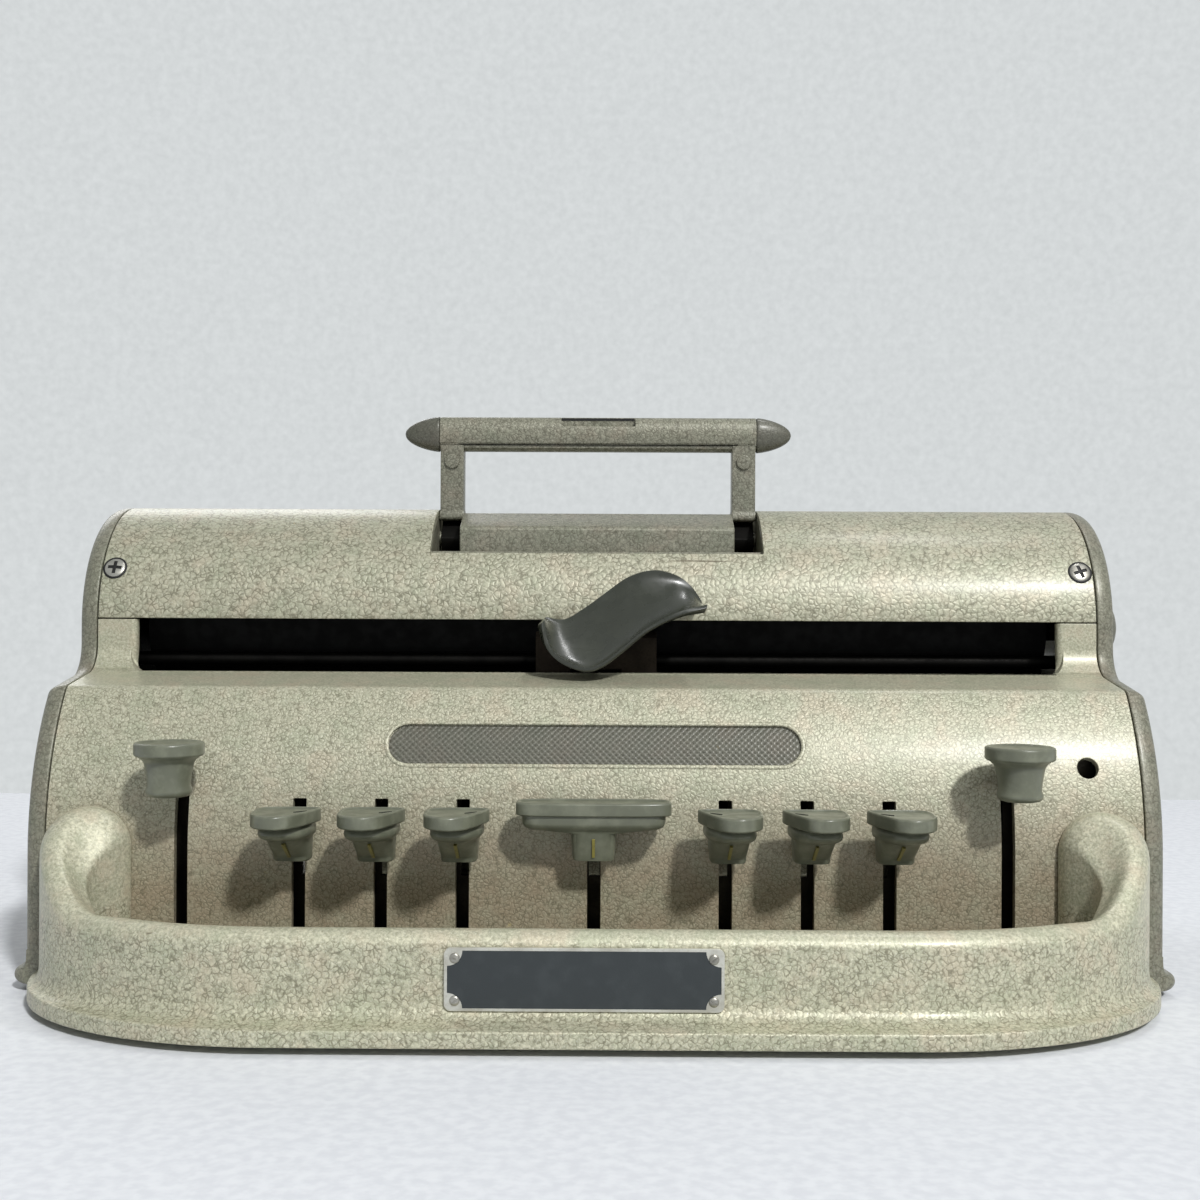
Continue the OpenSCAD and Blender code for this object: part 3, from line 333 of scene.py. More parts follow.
def piece(name, shape, material, nodes=(), body="frame", bevel=0.0, bevel_deg=40, sharp_deg=35):
    """A finished piece: eased edges, smooth shading and its place on a body."""
    obj = new_object(name, as_mesh(name, shape))
    if bevel:
        mod = obj.modifiers.new("bevel", "BEVEL")
        mod.width, mod.segments = bevel * MM, 2
        mod.limit_method, mod.angle_limit = "ANGLE", math.radians(bevel_deg)
        mod.use_clamp_overlap, mod.miter_outer = False, "MITER_ARC"
        obj.data = evaluated(obj)
        obj.modifiers.clear()
    obj.data.name = name
    obj.data.materials.clear()
    obj.data.materials.append(material[0])
    obj.data.shade_smooth()
    obj.data.set_sharp_from_angle(angle=math.radians(sharp_deg))
    obj.modifiers.new("normals", "WEIGHTED_NORMAL").keep_sharp = True
    if nodes:
        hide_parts(*nodes)
    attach(obj, body)


BODY_OF = {n: b for b, members in frame["record"]["behaviour"]["bodies"].items() for n in members}


def dress(node, material, bevel):
    """A piece that is a CAD node's copy with its flat faces merged and its edges eased."""
    mesh = tidy(frame["nodes"][node].data.copy(), 1.0)
    piece(node + "_finished", mesh, material, [node], BODY_OF[node], bevel)


# -------- materials

def srgb(r, g, b):
    """Linear colour of an sRGB one given from 0 to 255."""
    return tuple((c / 255 / 12.92 if c < 10.3 else ((c / 255 + 0.055) / 1.055) ** 2.4)
                 for c in (r, g, b)) + (1.0,)


class Nodes:
    """A node tree with short ways to add and join nodes."""

    def __init__(self, tree):
        self.tree = tree

    def add(self, kind, settings=None, **sockets):
        node = self.tree.nodes.new(kind)
        for key, value in (settings or {}).items():
            setattr(node, key, value)
        for key, value in sockets.items():
            self.put(node.inputs[key.replace("_", " ")], value)
        return node

    def put(self, socket, value):
        if isinstance(value, bpy.types.NodeSocket):
            self.tree.links.new(value, socket)
        else:
            socket.default_value = value

    def math(self, operation, a, b):
        node = self.add("ShaderNodeMath", {"operation": operation})
        self.put(node.inputs[0], a)
        self.put(node.inputs[1], b)
        return node.outputs[0]

    def blend(self, factor, a, b):
        node = self.add("ShaderNodeMix", {"data_type": "RGBA"})
        for socket, value in ((0, factor), (6, a), (7, b)):
            self.put(node.inputs[socket], value)
        return node.outputs[2]


class Shader(Nodes):
    """A node material around one Principled shader."""

    def __init__(self, name, roughness, metallic=0.0, coat=0.0, coat_roughness=0.1, specular=0.5):
        self.material = bpy.data.materials.new(name)
        self.material.use_nodes = True
        super().__init__(self.material.node_tree)
        self.bsdf = self.tree.nodes["Principled BSDF"]
        for socket, value in (("Roughness", roughness), ("Metallic", metallic), ("Coat Weight", coat),
                              ("Coat Roughness", coat_roughness), ("Specular IOR Level", specular)):
            self.bsdf.inputs[socket].default_value = value
        self.place = self.add("ShaderNodeTexCoord").outputs["Object"]

    def noise(self, size_mm, detail=2.0, roughness=0.5, stretch=None, output="Fac"):
        """Noise whose patches are about size_mm across."""
        source = self.place
        if stretch:
            source = self.add("ShaderNodeMapping", Vector=source, Scale=stretch).outputs[0]
        node = self.add("ShaderNodeTexNoise", Vector=source, Scale=1000 / size_mm,
                        Detail=detail, Roughness=roughness)
        return node.outputs[output]

    def ramp(self, value, low, high, out_low=0.0, out_high=1.0):
        """Smooth change from out_low to out_high as value goes from low to high."""
        node = self.add("ShaderNodeMapRange", {"interpolation_type": "SMOOTHSTEP"}, Value=value)
        for key, number in (("From Min", low), ("From Max", high), ("To Min", out_low), ("To Max", out_high)):
            node.inputs[key].default_value = number
        return node.outputs[0]

    def warped(self, amount_mm, size_mm):
        """The place on the surface, shaken by a noise."""
        colour = self.noise(size_mm, 1.0, output="Color")
        centred = self.add("ShaderNodeVectorMath", {"operation": "SUBTRACT"})
        self.put(centred.inputs[0], colour)
        centred.inputs[1].default_value = (0.5, 0.5, 0.5)
        scaled = self.add("ShaderNodeVectorMath", {"operation": "SCALE"})
        self.put(scaled.inputs[0], centred.outputs[0])
        scaled.inputs["Scale"].default_value = amount_mm * MM * 2
        moved = self.add("ShaderNodeVectorMath", {"operation": "ADD"})
        self.put(moved.inputs[0], self.place)
        self.put(moved.inputs[1], scaled.outputs[0])
        return moved.outputs[0]

    def relief(self, height, depth_mm, strength):
        bump = self.add("ShaderNodeBump", Height=height)
        bump.inputs["Distance"].default_value = depth_mm * MM
        bump.inputs["Strength"].default_value = strength
        self.put(self.bsdf.inputs["Normal"], bump.outputs[0])

    def colour(self, value):
        self.put(self.bsdf.inputs["Base Color"], value)

    def roughness(self, value):
        self.put(self.bsdf.inputs["Roughness"], value)


# sRGB colours of the hammertone enamel
TONES = {"island": (146, 145, 124), "pale_island": (188, 186, 163), "warm": (182, 168, 146),
         "green": (150, 156, 131), "pale_speck": (212, 210, 196), "dark_speck": (112, 108, 88),
         "patina_and_shade": (146, 128, 104), "outline": (92, 88, 67), "chip": (172, 160, 122), "scratch": (96, 88, 68)}


def hammertone(name, cell_mm, relief_mm, outline, shade, calm_above=None, patina_and_shade_below=None):
    """Hammertone enamel: pale islands with broken darker outlines and blotches of greener and
    warmer tone under a smooth glossy coat, with specks, chips and scratches. The pattern
    fades out above one height and the tone browns below another, both in millimetres; the
    browning is patina with painted shade. shade scales every tone, and the copies made much
    darker or paler with it are painted shade or painted light."""
    tint = {key: srgb(*(c * shade for c in rgb)) for key, rgb in TONES.items()}
    s = Shader("hammertone_" + name, 0.46, metallic=0.2, coat=0.2, coat_roughness=0.24)
    height_z = s.add("ShaderNodeSeparateXYZ", Vector=s.place).outputs[2]
    place = s.warped(cell_mm * 0.35, cell_mm * 0.9)
    edges = s.add("ShaderNodeTexVoronoi", {"feature": "DISTANCE_TO_EDGE"}, Vector=place, Scale=1000 / cell_mm)
    line = s.ramp(edges.outputs["Distance"], 0.0, 0.16, 1.0, 0.0)
    broken = s.ramp(s.noise(cell_mm * 1.3, 3.0, 0.65), 0.32, 0.6, 0.0, 0.8 * outline)
    line = s.math("MULTIPLY", line, broken)
    dome = s.ramp(edges.outputs["Distance"], 0.0, 0.35)
    relief = s.math("ADD", dome, s.math("MULTIPLY", s.noise(cell_mm * 0.5), 0.8))
    if calm_above is not None:
        calm = s.ramp(height_z, (calm_above - 2) * MM, (calm_above + 2) * MM, 1.0, 0.22)
        line, relief = s.math("MULTIPLY", line, calm), s.math("MULTIPLY", relief, calm)
    islands = s.noise(cell_mm * 0.6, 3.0, 0.65)
    tone = s.blend(s.ramp(islands, 0.3, 0.7), tint["island"], tint["pale_island"])
    blotch = s.noise(12, 3.0, 0.6)
    tone = s.blend(s.ramp(blotch, 0.5, 0.68, 0.0, 0.4), tone, tint["warm"])
    tone = s.blend(s.ramp(blotch, 0.5, 0.32, 0.0, 0.4), tone, tint["green"])
    tone = s.blend(s.ramp(s.noise(0.45), 0.55, 0.75, 0.0, 0.5), tone, tint["pale_speck"])
    tone = s.blend(s.ramp(s.noise(0.6), 0.58, 0.76, 0.0, 0.5), tone, tint["dark_speck"])
    # patina with painted shade: the tone browns towards the bottom
    if patina_and_shade_below is not None:
        patina_and_shade = s.ramp(height_z, (patina_and_shade_below - 35) * MM, patina_and_shade_below * MM, 0.6, 0.0)
        patina_and_shade = s.math("MULTIPLY", patina_and_shade, s.ramp(blotch, 0.3, 0.6, 0.6, 1.0))
        tone = s.blend(patina_and_shade, tone, tint["patina_and_shade"])
    tone = s.blend(line, tone, tint["outline"])
    chips = s.ramp(s.noise(9, 4.0, 0.65), 0.735, 0.76)
    tone = s.blend(chips, tone, tint["chip"])
    scratch = s.ramp(s.noise(5, 3.0, 0.6, stretch=(0.06, 1.0, 1.0)), 0.73, 0.76, 0.0, 0.8)
    tone = s.blend(scratch, tone, tint["scratch"])
    s.colour(tone)
    s.roughness(s.ramp(islands, 0.25, 0.75, 0.4, 0.56))
    s.relief(relief, relief_mm, 0.7)
    return s.material, "enamel"


def smooth_enamel(name, slot, base, worn, roughness):
    """Smooth sprayed enamel or moulded key plastic with a slight orange peel and handled patches."""
    s = Shader(name, roughness, coat=0.15, coat_roughness=0.25)
    handled = s.ramp(s.noise(7, 3.0, 0.6), 0.42, 0.72, 0.0, 0.65)
    base, worn = srgb(*base), srgb(*worn)
    tone = s.blend(handled, base, worn)
    tone = s.blend(s.ramp(s.noise(1.1), 0.6, 0.8, 0.0, 0.25), tone, worn)
    s.colour(tone)
    s.roughness(s.ramp(s.noise(5), 0.3, 0.7, roughness - 0.07, roughness + 0.1))
    s.relief(s.noise(1.6), 0.03, 0.5)
    return s.material, slot


def metal(name, slot, base, dark, roughness, grain=(1.0, 1.0, 1.0)):
    """Machined metal with a drawn grain and darker, slightly oily patches."""
    s = Shader(name, roughness, metallic=0.9)
    drawn = s.noise(0.8, 2.0, 0.6, stretch=grain)
    base, dark = srgb(*base), srgb(*dark)
    tone = s.blend(s.ramp(s.noise(9, 3.0), 0.4, 0.7, 0.0, 0.7), base, dark)
    tone = s.blend(s.ramp(drawn, 0.45, 0.75, 0.0, 0.35), tone, dark)
    s.colour(tone)
    s.roughness(s.ramp(drawn, 0.3, 0.7, roughness - 0.06, roughness + 0.12))
    s.relief(drawn, 0.02, 0.4)
    return s.material, slot


def matte(name, slot, base, pale, roughness, size_mm=1.5):
    """Rubber, slate paint or grip: dull and finely pitted, with paler dust."""
    s = Shader(name, roughness, specular=0.35)
    s.colour(s.blend(s.ramp(s.noise(size_mm * 6, 4.0), 0.45, 0.75, 0.0, 0.5), srgb(*base), srgb(*pale)))
    s.roughness(s.ramp(s.noise(size_mm * 3), 0.3, 0.7, roughness - 0.08, roughness + 0.08))
    s.relief(s.noise(size_mm * 0.4), 0.03, 0.6)
    return s.material, slot


COVER = hammertone("cover", 2.0, 0.1, 0.95, 0.98)
# painted shade: the handle block's enamel is a darker copy
BLOCK = hammertone("block", 1.7, 0.05, 0.8, 0.76)
# painted shade: the handle arms and rivets get a darker copy of the enamel
ARM = hammertone("arm", 1.5, 0.06, 0.85, 0.7)
# painted light: the guard's enamel is a paler copy
GUARD = hammertone("guard", 1.7, 0.085, 0.9, 1.1, calm_above=30)
# patina with painted shade: the panel browns below 72 mm
PANEL = hammertone("panel", 1.4, 0.08, 0.85, 1.02, calm_above=97, patina_and_shade_below=72)
# painted shade: both end plates get a darker copy of the enamel
ENDS = hammertone("ends", 1.7, 0.06, 0.7, 0.74)
# painted shade: the handle bar's enamel is a darker copy
BAR = hammertone("bar", 1.5, 0.07, 0.9, 0.76)
# painted shade: the handle's pointed tips are a much darker copy
TIP = hammertone("tip", 1.4, 0.05, 0.6, 0.52)
BADGE = hammertone("badge", 1.2, 0.03, 0.3, 0.54)
KEY = smooth_enamel("key_enamel", "key_enamel", (98, 101, 85), (126, 129, 111), 0.36)
LEVER = smooth_enamel("lever_enamel", "lever_enamel", (42, 45, 36), (50, 53, 43), 0.28)
KNOB = matte("knob_grip", "knob", (96, 95, 80), (118, 116, 98), 0.42)
STEEL = metal("steel", "steel", (172, 170, 162), (122, 119, 110), 0.32, (0.1, 1, 1))
BLACKENED = metal("blackened_steel", "dark_steel", (26, 25, 23), (14, 13, 12), 0.5)
CARRIAGE = metal("carriage_steel", "dark_steel", (40, 34, 27), (22, 18, 13), 0.5)
DARK = metal("dark_steel", "dark_steel", (62, 58, 50), (38, 34, 28), 0.4)
# painted shade: flat black standing in for the shade in gaps and recesses
BLACK = matte("painted_shade_black", "dark_steel", (10, 10, 9), (18, 17, 15), 0.6)
ROLLER = matte("roller_rubber", "rubber", (5, 5, 5), (9, 9, 9), 0.85)
RUBBER = matte("rubber", "rubber", (34, 34, 33), (52, 52, 50), 0.7)
SLATE = matte("slate_field", "slate", (50, 55, 57), (62, 67, 69), 0.45, 0.9)
BRIGHT = metal("bright_border", "slate", (214, 213, 203), (176, 172, 158), 0.34)
BRASS_LINE = smooth_enamel("stem_line", "key_enamel", (132, 124, 60), (96, 90, 48), 0.45)
# painted shade for the key slit
STEM_SLIT = matte("slit", "key_enamel", (38, 40, 35), (50, 52, 46), 0.6)

# -------- casing


def foot_flange():
    """Flared flange along the foot of the right end plate, with a rounded front end."""
    x_in, x_out = CASE_HALF_W - 2.6, CASE_HALF_W + FLANGE_OUT
    edge_r, root_z = 2.6, BOTTOM_Z + 11.2
    start_y = FRONT_Y + 0.7

    def outline(k):
        """Cross-section, flat against the plate at k = 0 and whole at k = 1."""
        out = mix(CASE_HALF_W + 0.3, x_out, k)
        edge = arc(out - edge_r, BOTTOM_Z + edge_r, edge_r, -90, 60, 10)
        hollow = [(mix(out - 1.3 * k, CASE_HALF_W + 0.3, sind(t)), mix(BOTTOM_Z + 5, root_z, 1 - cosd(t)))
                  for t in range(12, 91, 13)]
        return [(x_in, BOTTOM_Z)] + edge + hollow + [(x_in, root_z + 1.4)]

    stations = [(start_y + d, math.sqrt(max(0.0, 1 - (1 - d / FLANGE_OUT) ** 2))) for d in
                (0.05, 0.3, 0.8, 1.5, 2.4, 3.5, 4.7, FLANGE_OUT)]
    stations.append((rear_slope_y(root_z), 1.0))
    return loft([[(x, y, z) for x, z in outline(k)] for y, k in stations])


def end_plate():
    """Right end plate with its rounded rim and a small chamfer at the seam."""
    outline = case_outline()
    chamfer = ((0, 0.5), (0.12, 0.2), (0.4, 0))
    rings = [[(INNER_X + x, y, z) for y, z in inset(outline, d)] for x, d in chamfer]
    for t in range(0, 91, 9):
        rings.append([(PLATE_OUT_X - RIM_W * (1 - sind(t)), y, z)
                      for y, z in inset(outline, RIM_R * (1 - cosd(t)))])
    plate = united(loft(rings), foot_flange())
    shaft = rod(SHAFT_HOLE_D, 24, turned(INNER_X - 5, ROLLER_Y, ROLLER_Z, "Y", 90))
    release = rod(RELEASE_HOLE_D, 24, turned(INNER_X - 5, RELEASE_Y, RELEASE_Z, "Y", 90))
    return cut(plate, joined(shaft, release))


right_plate = end_plate()
piece("right_end_casting", right_plate, ENDS, ["right_end_plate"], sharp_deg=40)
piece("left_end_casting", mirrored(right_plate), ENDS, ["left_end_plate"], sharp_deg=40)


def guard_pt(side, a, ax, by):
    """Place on an elliptic corner of the guard, seen from above."""
    return Vector((side * (GUARD_STRAIGHT + ax * cosd(a)), FRONT_Y - by * sind(a)))


def guard_ring(side, a):
    """Cross-section of the guard at angle a: rounded top, wall and hollow flange. Behind
    a ridge, the top is scooped where the post turns into the rail."""
    p_in = guard_pt(side, a, GUARD_AX - mix(POST_W, GUARD_T + 3, smooth((a - 1) / 24)), GUARD_BY - GUARD_T)
    p_out = guard_pt(side, a, GUARD_AX, GUARD_BY)
    p_edge = guard_pt(side, a, GUARD_AX + GUARD_FLANGE_SIDE, GUARD_BY + GUARD_FLANGE)
    top = mix(POST_Z, BEAD_Z, smooth((a - 2) / 42))
    high = (p_out - p_in).length / 2 * 0.95
    scoop = smooth((a - 2) / 12) * (1 - smooth((a - 24) / 30))
    ridge, depth = 0.62, 9.0
    cross = [(0.0, BOTTOM_Z)]
    for t in range(180, -1, -6):
        w = 0.5 + 0.5 * cosd(t)
        arch = top - high + high * sind(t)
        if w > ridge:
            u = (w - ridge) / (1 - ridge)
            slope = top - high * (1 - math.sqrt(max(0.0, 1 - u * u)))
        else:
            u = w / ridge
            lip = math.sqrt(1 - (1 - min(1.0, u / 0.3)) ** 2)
            slope = top - depth * (1 - 0.3 * lip - 0.7 * smooth((u - 0.1) / 0.95))
        cross.append((w, mix(arch, slope, scoop)))
    cross += [(1.0, FLANGE_ROOT_Z + 3), (1.0, FLANGE_ROOT_Z)]
    cross += [(1 + (1 - cosd(t)) ** 1.5, mix(FLANGE_ROOT_Z, FLANGE_EDGE_Z, sind(t)))
              for t in range(15, 86, 10)]
    cross += [(1.97, FLANGE_EDGE_Z - 0.1), (2.0, FLANGE_EDGE_Z - 0.8), (2.0, BOTTOM_Z + 0.7),
              (1.96, BOTTOM_Z)]
    return [(*(p_in.lerp(p_out, w) if w <= 1 else p_out.lerp(p_edge, w - 1)), z) for w, z in cross]


def front_guard():
    """The guard swept round from post to post and cut to the casing's curve."""
    angles = [i * 2.0 for i in range(46)]
    left = [guard_ring(-1, a) for a in angles]
    right = [guard_ring(1, a) for a in reversed(angles)]

    def back(ring):
        return [(x, y + 6, z) for x, y, z in ring]

    rings = [back(left[0])] + left + right + [back(right[-1])]
    casing = along_x(-CASE_HALF_W - 9, CASE_HALF_W + 9, inset(case_outline(), -SEAM))
    return cut(loft(rings), casing)


piece("guard_casting", front_guard(), GUARD, ["front_guard"], bevel=0.25, bevel_deg=60, sharp_deg=40)


def stadium(half, h, n=14):
    """Outline of a bar with round ends, counter-clockwise."""
    r = h / 2
    right = arc(half - r, 0, r, -90, 90, n)
    return right + [(-x, -y) for x, y in right]


def on_panel(x, s, out):
    """A place on the keyboard panel, s along it from the badge's middle and out of it."""
    a = panel_angle(BADGE_Z) + s / BELLY_R
    r = BELLY_R + out
    return (x, BELLY_Y - r * math.cos(a), BELLY_Z + r * math.sin(a))


def front_cover():
    """Keyboard panel and ledge with the paper slot, key slots, hole and name recess."""
    w = INNER_X - SEAM
    top = COVER_LOW_Z - SEAM
    outer = [(FRONT_Y, BOTTOM_Z + BASE_T)] + front_outline()[1:] + [(0.0, top)]
    closed = [(outer[0][0] + 200, outer[0][1])] + outer + [(200, top)]
    inner = inset(list(reversed(closed)), WALL_T)[1:-1]
    inner[0] = (inner[0][0], top)
    inner[-1] = (inner[-1][0], outer[0][1])
    shell = along_x(-w, w, outer + inner)
    slot_top = top + 5

    def opening(flare):
        """Outline of the paper slot, larger by flare."""
        half, r = SLOT_HALF_W + flare, SLOT_CORNER_R + flare
        corners = arc(half - r, SLOT_LOW_Z + r, r, -90, 0, 9)
        return [(-x, z) for x, z in reversed(corners)] + corners + [(half, slot_top), (-half, slot_top)]

    eased = [(SLOT_EDGE_R * (1 - cosd(t)), SLOT_EDGE_R * (1 - sind(t))) for t in range(90, -1, -15)]
    cutters = [loft([[(x, y, z) for x, z in opening(flare)]
                     for y, flare in [(20, 0.0)] + eased + [(-6, SLOT_EDGE_R)]])]
    for x in (*DOT_X.values(), 0.0, -ROUND_KEY_X, ROUND_KEY_X):
        high = ROUND_SLOT_TOP if abs(x) == ROUND_KEY_X else KEY_SLOT_TOP
        cutters.append(box((x - KEY_SLOT_W / 2, FRONT_Y - 5, KEY_SLOT_LOW), (x + KEY_SLOT_W / 2, 0, high)))
    lean = math.degrees(panel_angle(HOLE_Z))
    cutters.append(rod(HOLE_D, 30, turned(HOLE_X, panel_y(HOLE_Z), HOLE_Z, "X", 90 - lean)
                       @ Matrix.Translation((0, 0, -12)), 40))
    cutters.append(loft([[on_panel(x, s, out) for x, s in stadium(BADGE_HALF, BADGE_H)]
                         for out in (4, -BADGE_DEPTH)]))
    return cut(shell, joined(*cutters))


piece("front_cover_casting", front_cover(), PANEL, ["front_cover"], bevel=0.3, bevel_deg=50,
      sharp_deg=38)


def badge_field():
    """Bare cross-hatched field in the badge recess: rows of small pyramids."""
    step, pitch, high = 0.35, 2.1, 0.34
    cols, rows = int(2 * BADGE_HALF / step) + 1, int(BADGE_H / step) + 1
    verts, index, faces = [], {}, []
    for i in range(cols):
        for j in range(rows):
            x, s = -BADGE_HALF + i * step, -BADGE_H / 2 + j * step
            across = max(0.0, abs(x) - (BADGE_HALF - BADGE_H / 2))
            if math.hypot(across, s) > BADGE_H / 2 - 0.1:
                continue
            u, v = (x + s) / pitch, (x - s) / pitch
            peak = 1 - max(abs(u - round(u)), abs(v - round(v))) * 2
            index[i, j] = len(verts)
            verts.append(on_panel(x, s, -BADGE_DEPTH + 0.06 + high * peak))
    for (i, j), a in index.items():
        corners = [a] + [index.get(key) for key in ((i + 1, j), (i + 1, j + 1), (i, j + 1))]
        if None not in corners:
            faces.append(tuple(corners))
    return verts, faces


def badge_rim():
    """Thin raised bead round the badge recess."""
    r, rings = 0.75, []
    outline = stadium(BADGE_HALF + 0.5, BADGE_H + 1.0, 18)
    for i, (x, s) in enumerate(outline):
        a, b = outline[i - 1], outline[(i + 1) % len(outline)]
        along = Vector((b[0] - a[0], b[1] - a[1])).normalized()
        side = Vector((along.y, -along.x))
        rings.append([on_panel(x + side.x * r * math.cos(t), s + side.y * r * math.cos(t),
                               0.4 * r * math.sin(t) - 0.05)
                      for t in turns(10)])
    return loft(rings, closed=True)


piece("badge_field", badge_field(), BADGE, sharp_deg=20)
piece("badge_rim", badge_rim(), PANEL)


def top_cover():
    """Curved shell of the crest, in stations along X, with the notch for the handle."""
    w = INNER_X - SEAM
    start = 180 - math.degrees(math.asin((COVER_LOW_Z - CREST_Z) / CREST_R))
    end = math.degrees(math.asin((COVER_REAR_Z - CREST_Z) / CREST_R))
    outer = arc(ROLLER_Y, ROLLER_Z, CREST_R, start, end, 80)
    inner = arc(ROLLER_Y, ROLLER_Z, CREST_R - COVER_T, end + 0.7, start - 0.1, 80)
    shell = loft([[(x, y, z) for y, z in outer + inner] for x in [-w + 2 * w * i / 30 for i in range(31)]])
    notch = box((-NOTCH_HALF_W, NOTCH_FRONT_Y, 130), (NOTCH_HALF_W, NOTCH_REAR_Y, 175))
    return cut(shell, notch)


def crest_place(side, deg):
    """Frame of a cover screw on the crest: its Z points out of the casing."""
    return (Matrix.Translation((side * SCREW_X, ROLLER_Y, ROLLER_Z))
            @ Matrix.Rotation(math.radians(deg), 4, "X")
            @ Matrix.Translation((0, -CREST_R, 0)) @ Matrix.Rotation(math.radians(90), 4, "X"))


piece("top_cover_shell", top_cover(), COVER, ["top_cover"], bevel=0.4, bevel_deg=50, sharp_deg=38)

for name, ease in (("rear_cover", 0.5), ("base_plate", 0.4), ("reading_rest", 0.3)):
    dress(name, COVER, ease)
dress("handle_bracket", BLOCK, 0.5)

# -------- screws and bare plate


def upright_bar(place, turn, half, width, z0, z1):
    """Flat bar across a screw's head, turned about the screw's axis."""
    spin = place @ Matrix.Rotation(math.radians(turn), 4, "Z")
    corners = ((-half, -width), (half, -width), (half, width), (-half, width))
    return loft([[tuple(spin @ Vector((x, y, z))) for x, y in corners] for z in (z0, z1)])


def cross_screw(place, turn):
    """Cross-head screw: its low domed head, with a black ring round it and a black fill in its recess, both
    painted shade.
    """
    r = SCREW_HEAD_R
    dome = [(r * cosd(a), 0.15 + 0.65 * sind(a)) for a in range(5, 86, 8)]
    head = revolve([(0, -2), (1.7, -2), (1.7, -0.3), (r, -0.3)] + dome + [(0, 0.8)], place, 40)
    ring = SCREW_RING_R
    # painted shade: a black ring where the shadow gap round the head falls
    shadow_ring = revolve([(0, -0.6), (ring, -0.6), (ring, 0.1), (ring - 0.15, 0.22), (r, 0.22), (r, -0.2),
                      (0, -0.2)], place)

    def cross(half, width, z0, z1):
        return [upright_bar(place, turn + quarter, half, width, z0, z1) for quarter in (0, 90)]

    # painted shade: the recess is a black fill set into the cut cross
    return cut(head, *cross(2.45, 0.62, 0.1, 2)), shadow_ring, united(*cross(2.4, 0.58, -0.1, 0.36))


number = 0
for side in (-1, 1):
    for deg in (-SCREW_DEG, REAR_SCREW_DEG - 180):
        number += 1
        head, shadow_ring, recess = cross_screw(crest_place(side, deg), -4 if side < 0 else 17)
        piece(f"cover_screw_{number}", head, STEEL, ["cover_screws"] if number == 1 else (), sharp_deg=30)
        piece(f"cover_screw_ring_{number}", shadow_ring, BLACK, sharp_deg=40)
        piece(f"cover_screw_recess_{number}", recess, BLACK, sharp_deg=40)


def plate_outline(w, h, r, notched=False):
    """Rectangle with rounded corners, or with a round notch at each, where a screw sits on bare metal."""
    back, first, sweep, n = (0, 270, -90, 8) if notched else (r, 0, 90, 6)
    points = []
    for k, (sx, sz) in enumerate(((1, 1), (-1, 1), (-1, -1), (1, -1))):
        start = first + 90 * k
        points += arc(sx * (w / 2 - back), sz * (h / 2 - back), r, start, start + sweep, n)
    return points


def flat_plate(outline, y0, y1):
    """The outline made solid at the guard's plate."""
    return loft([[(PLATE_X + x, y, PLATE_Z + z) for x, z in outline] for y in (y0, y1)])


def slit_screw(sx, sz):
    """Small round-headed screw in one corner of the plate."""
    place = turned(PLATE_X + sx * (PLATE_W / 2 - PLATE_SCREW_INSET), PLATE_FACE_Y,
                   PLATE_Z + sz * (PLATE_H / 2 - PLATE_SCREW_INSET), "X", 90)
    r = PLATE_SCREW_R
    dome = [(r * cosd(a), 0.2 + 0.5 * sind(a)) for a in range(15, 76, 15)]
    head = revolve([(0, 0), (r, 0), (r, 0.2)] + dome + [(0, 0.7)], place, 28)
    return cut(head, upright_bar(place, 35 * sx * sz, 1.3, 0.16, 0.35, 1.2))


border = flat_plate(plate_outline(PLATE_W, PLATE_H, 2.0), PLATE_Y, PLATE_FACE_Y)
piece("plate_metal", border, BRIGHT, ["guard_plate"], bevel=0.15)
field = flat_plate(plate_outline(PLATE_W - 1.8, PLATE_H - 1.8, 4.3, notched=True), PLATE_FACE_Y + 0.2,
                   PLATE_FACE_Y - 0.08)
piece("plate_field", field, SLATE)
for number, corner in enumerate(((-1, -1), (-1, 1), (1, -1), (1, 1)), 1):
    piece(f"plate_screw_{number}", slit_screw(*corner), STEEL, ["guard_plate_screws"] if number == 1 else (),
          sharp_deg=30)

# -------- keys


def sgn_pow(v, e):
    """Power that keeps the sign, for rounded squares."""
    return math.copysign(abs(v) ** e, v)


def cap_ring(w_front, w_rear, front, rear, z, cut_back=0.0, side=1, n=48):
    """Rounded ring of a key cap. cut_back draws its inner front corner to the back, so
    that the plate's foremost edge points away from the machine's middle."""
    ring = []
    for a in turns(n):
        u, v = sgn_pow(math.cos(a), 0.5), sgn_pow(math.sin(a), 0.5)
        lead = max(0.0, u * side - 0.1) / 0.9
        edge = front + cut_back * lead ** 1.6 + 0.2 * cut_back * max(0.0, 0.1 - u * side) ** 2
        t = (v + 1) / 2
        ring.append((u * mix(w_front, w_rear, t) / 2, mix(edge, rear, t), z))
    return ring


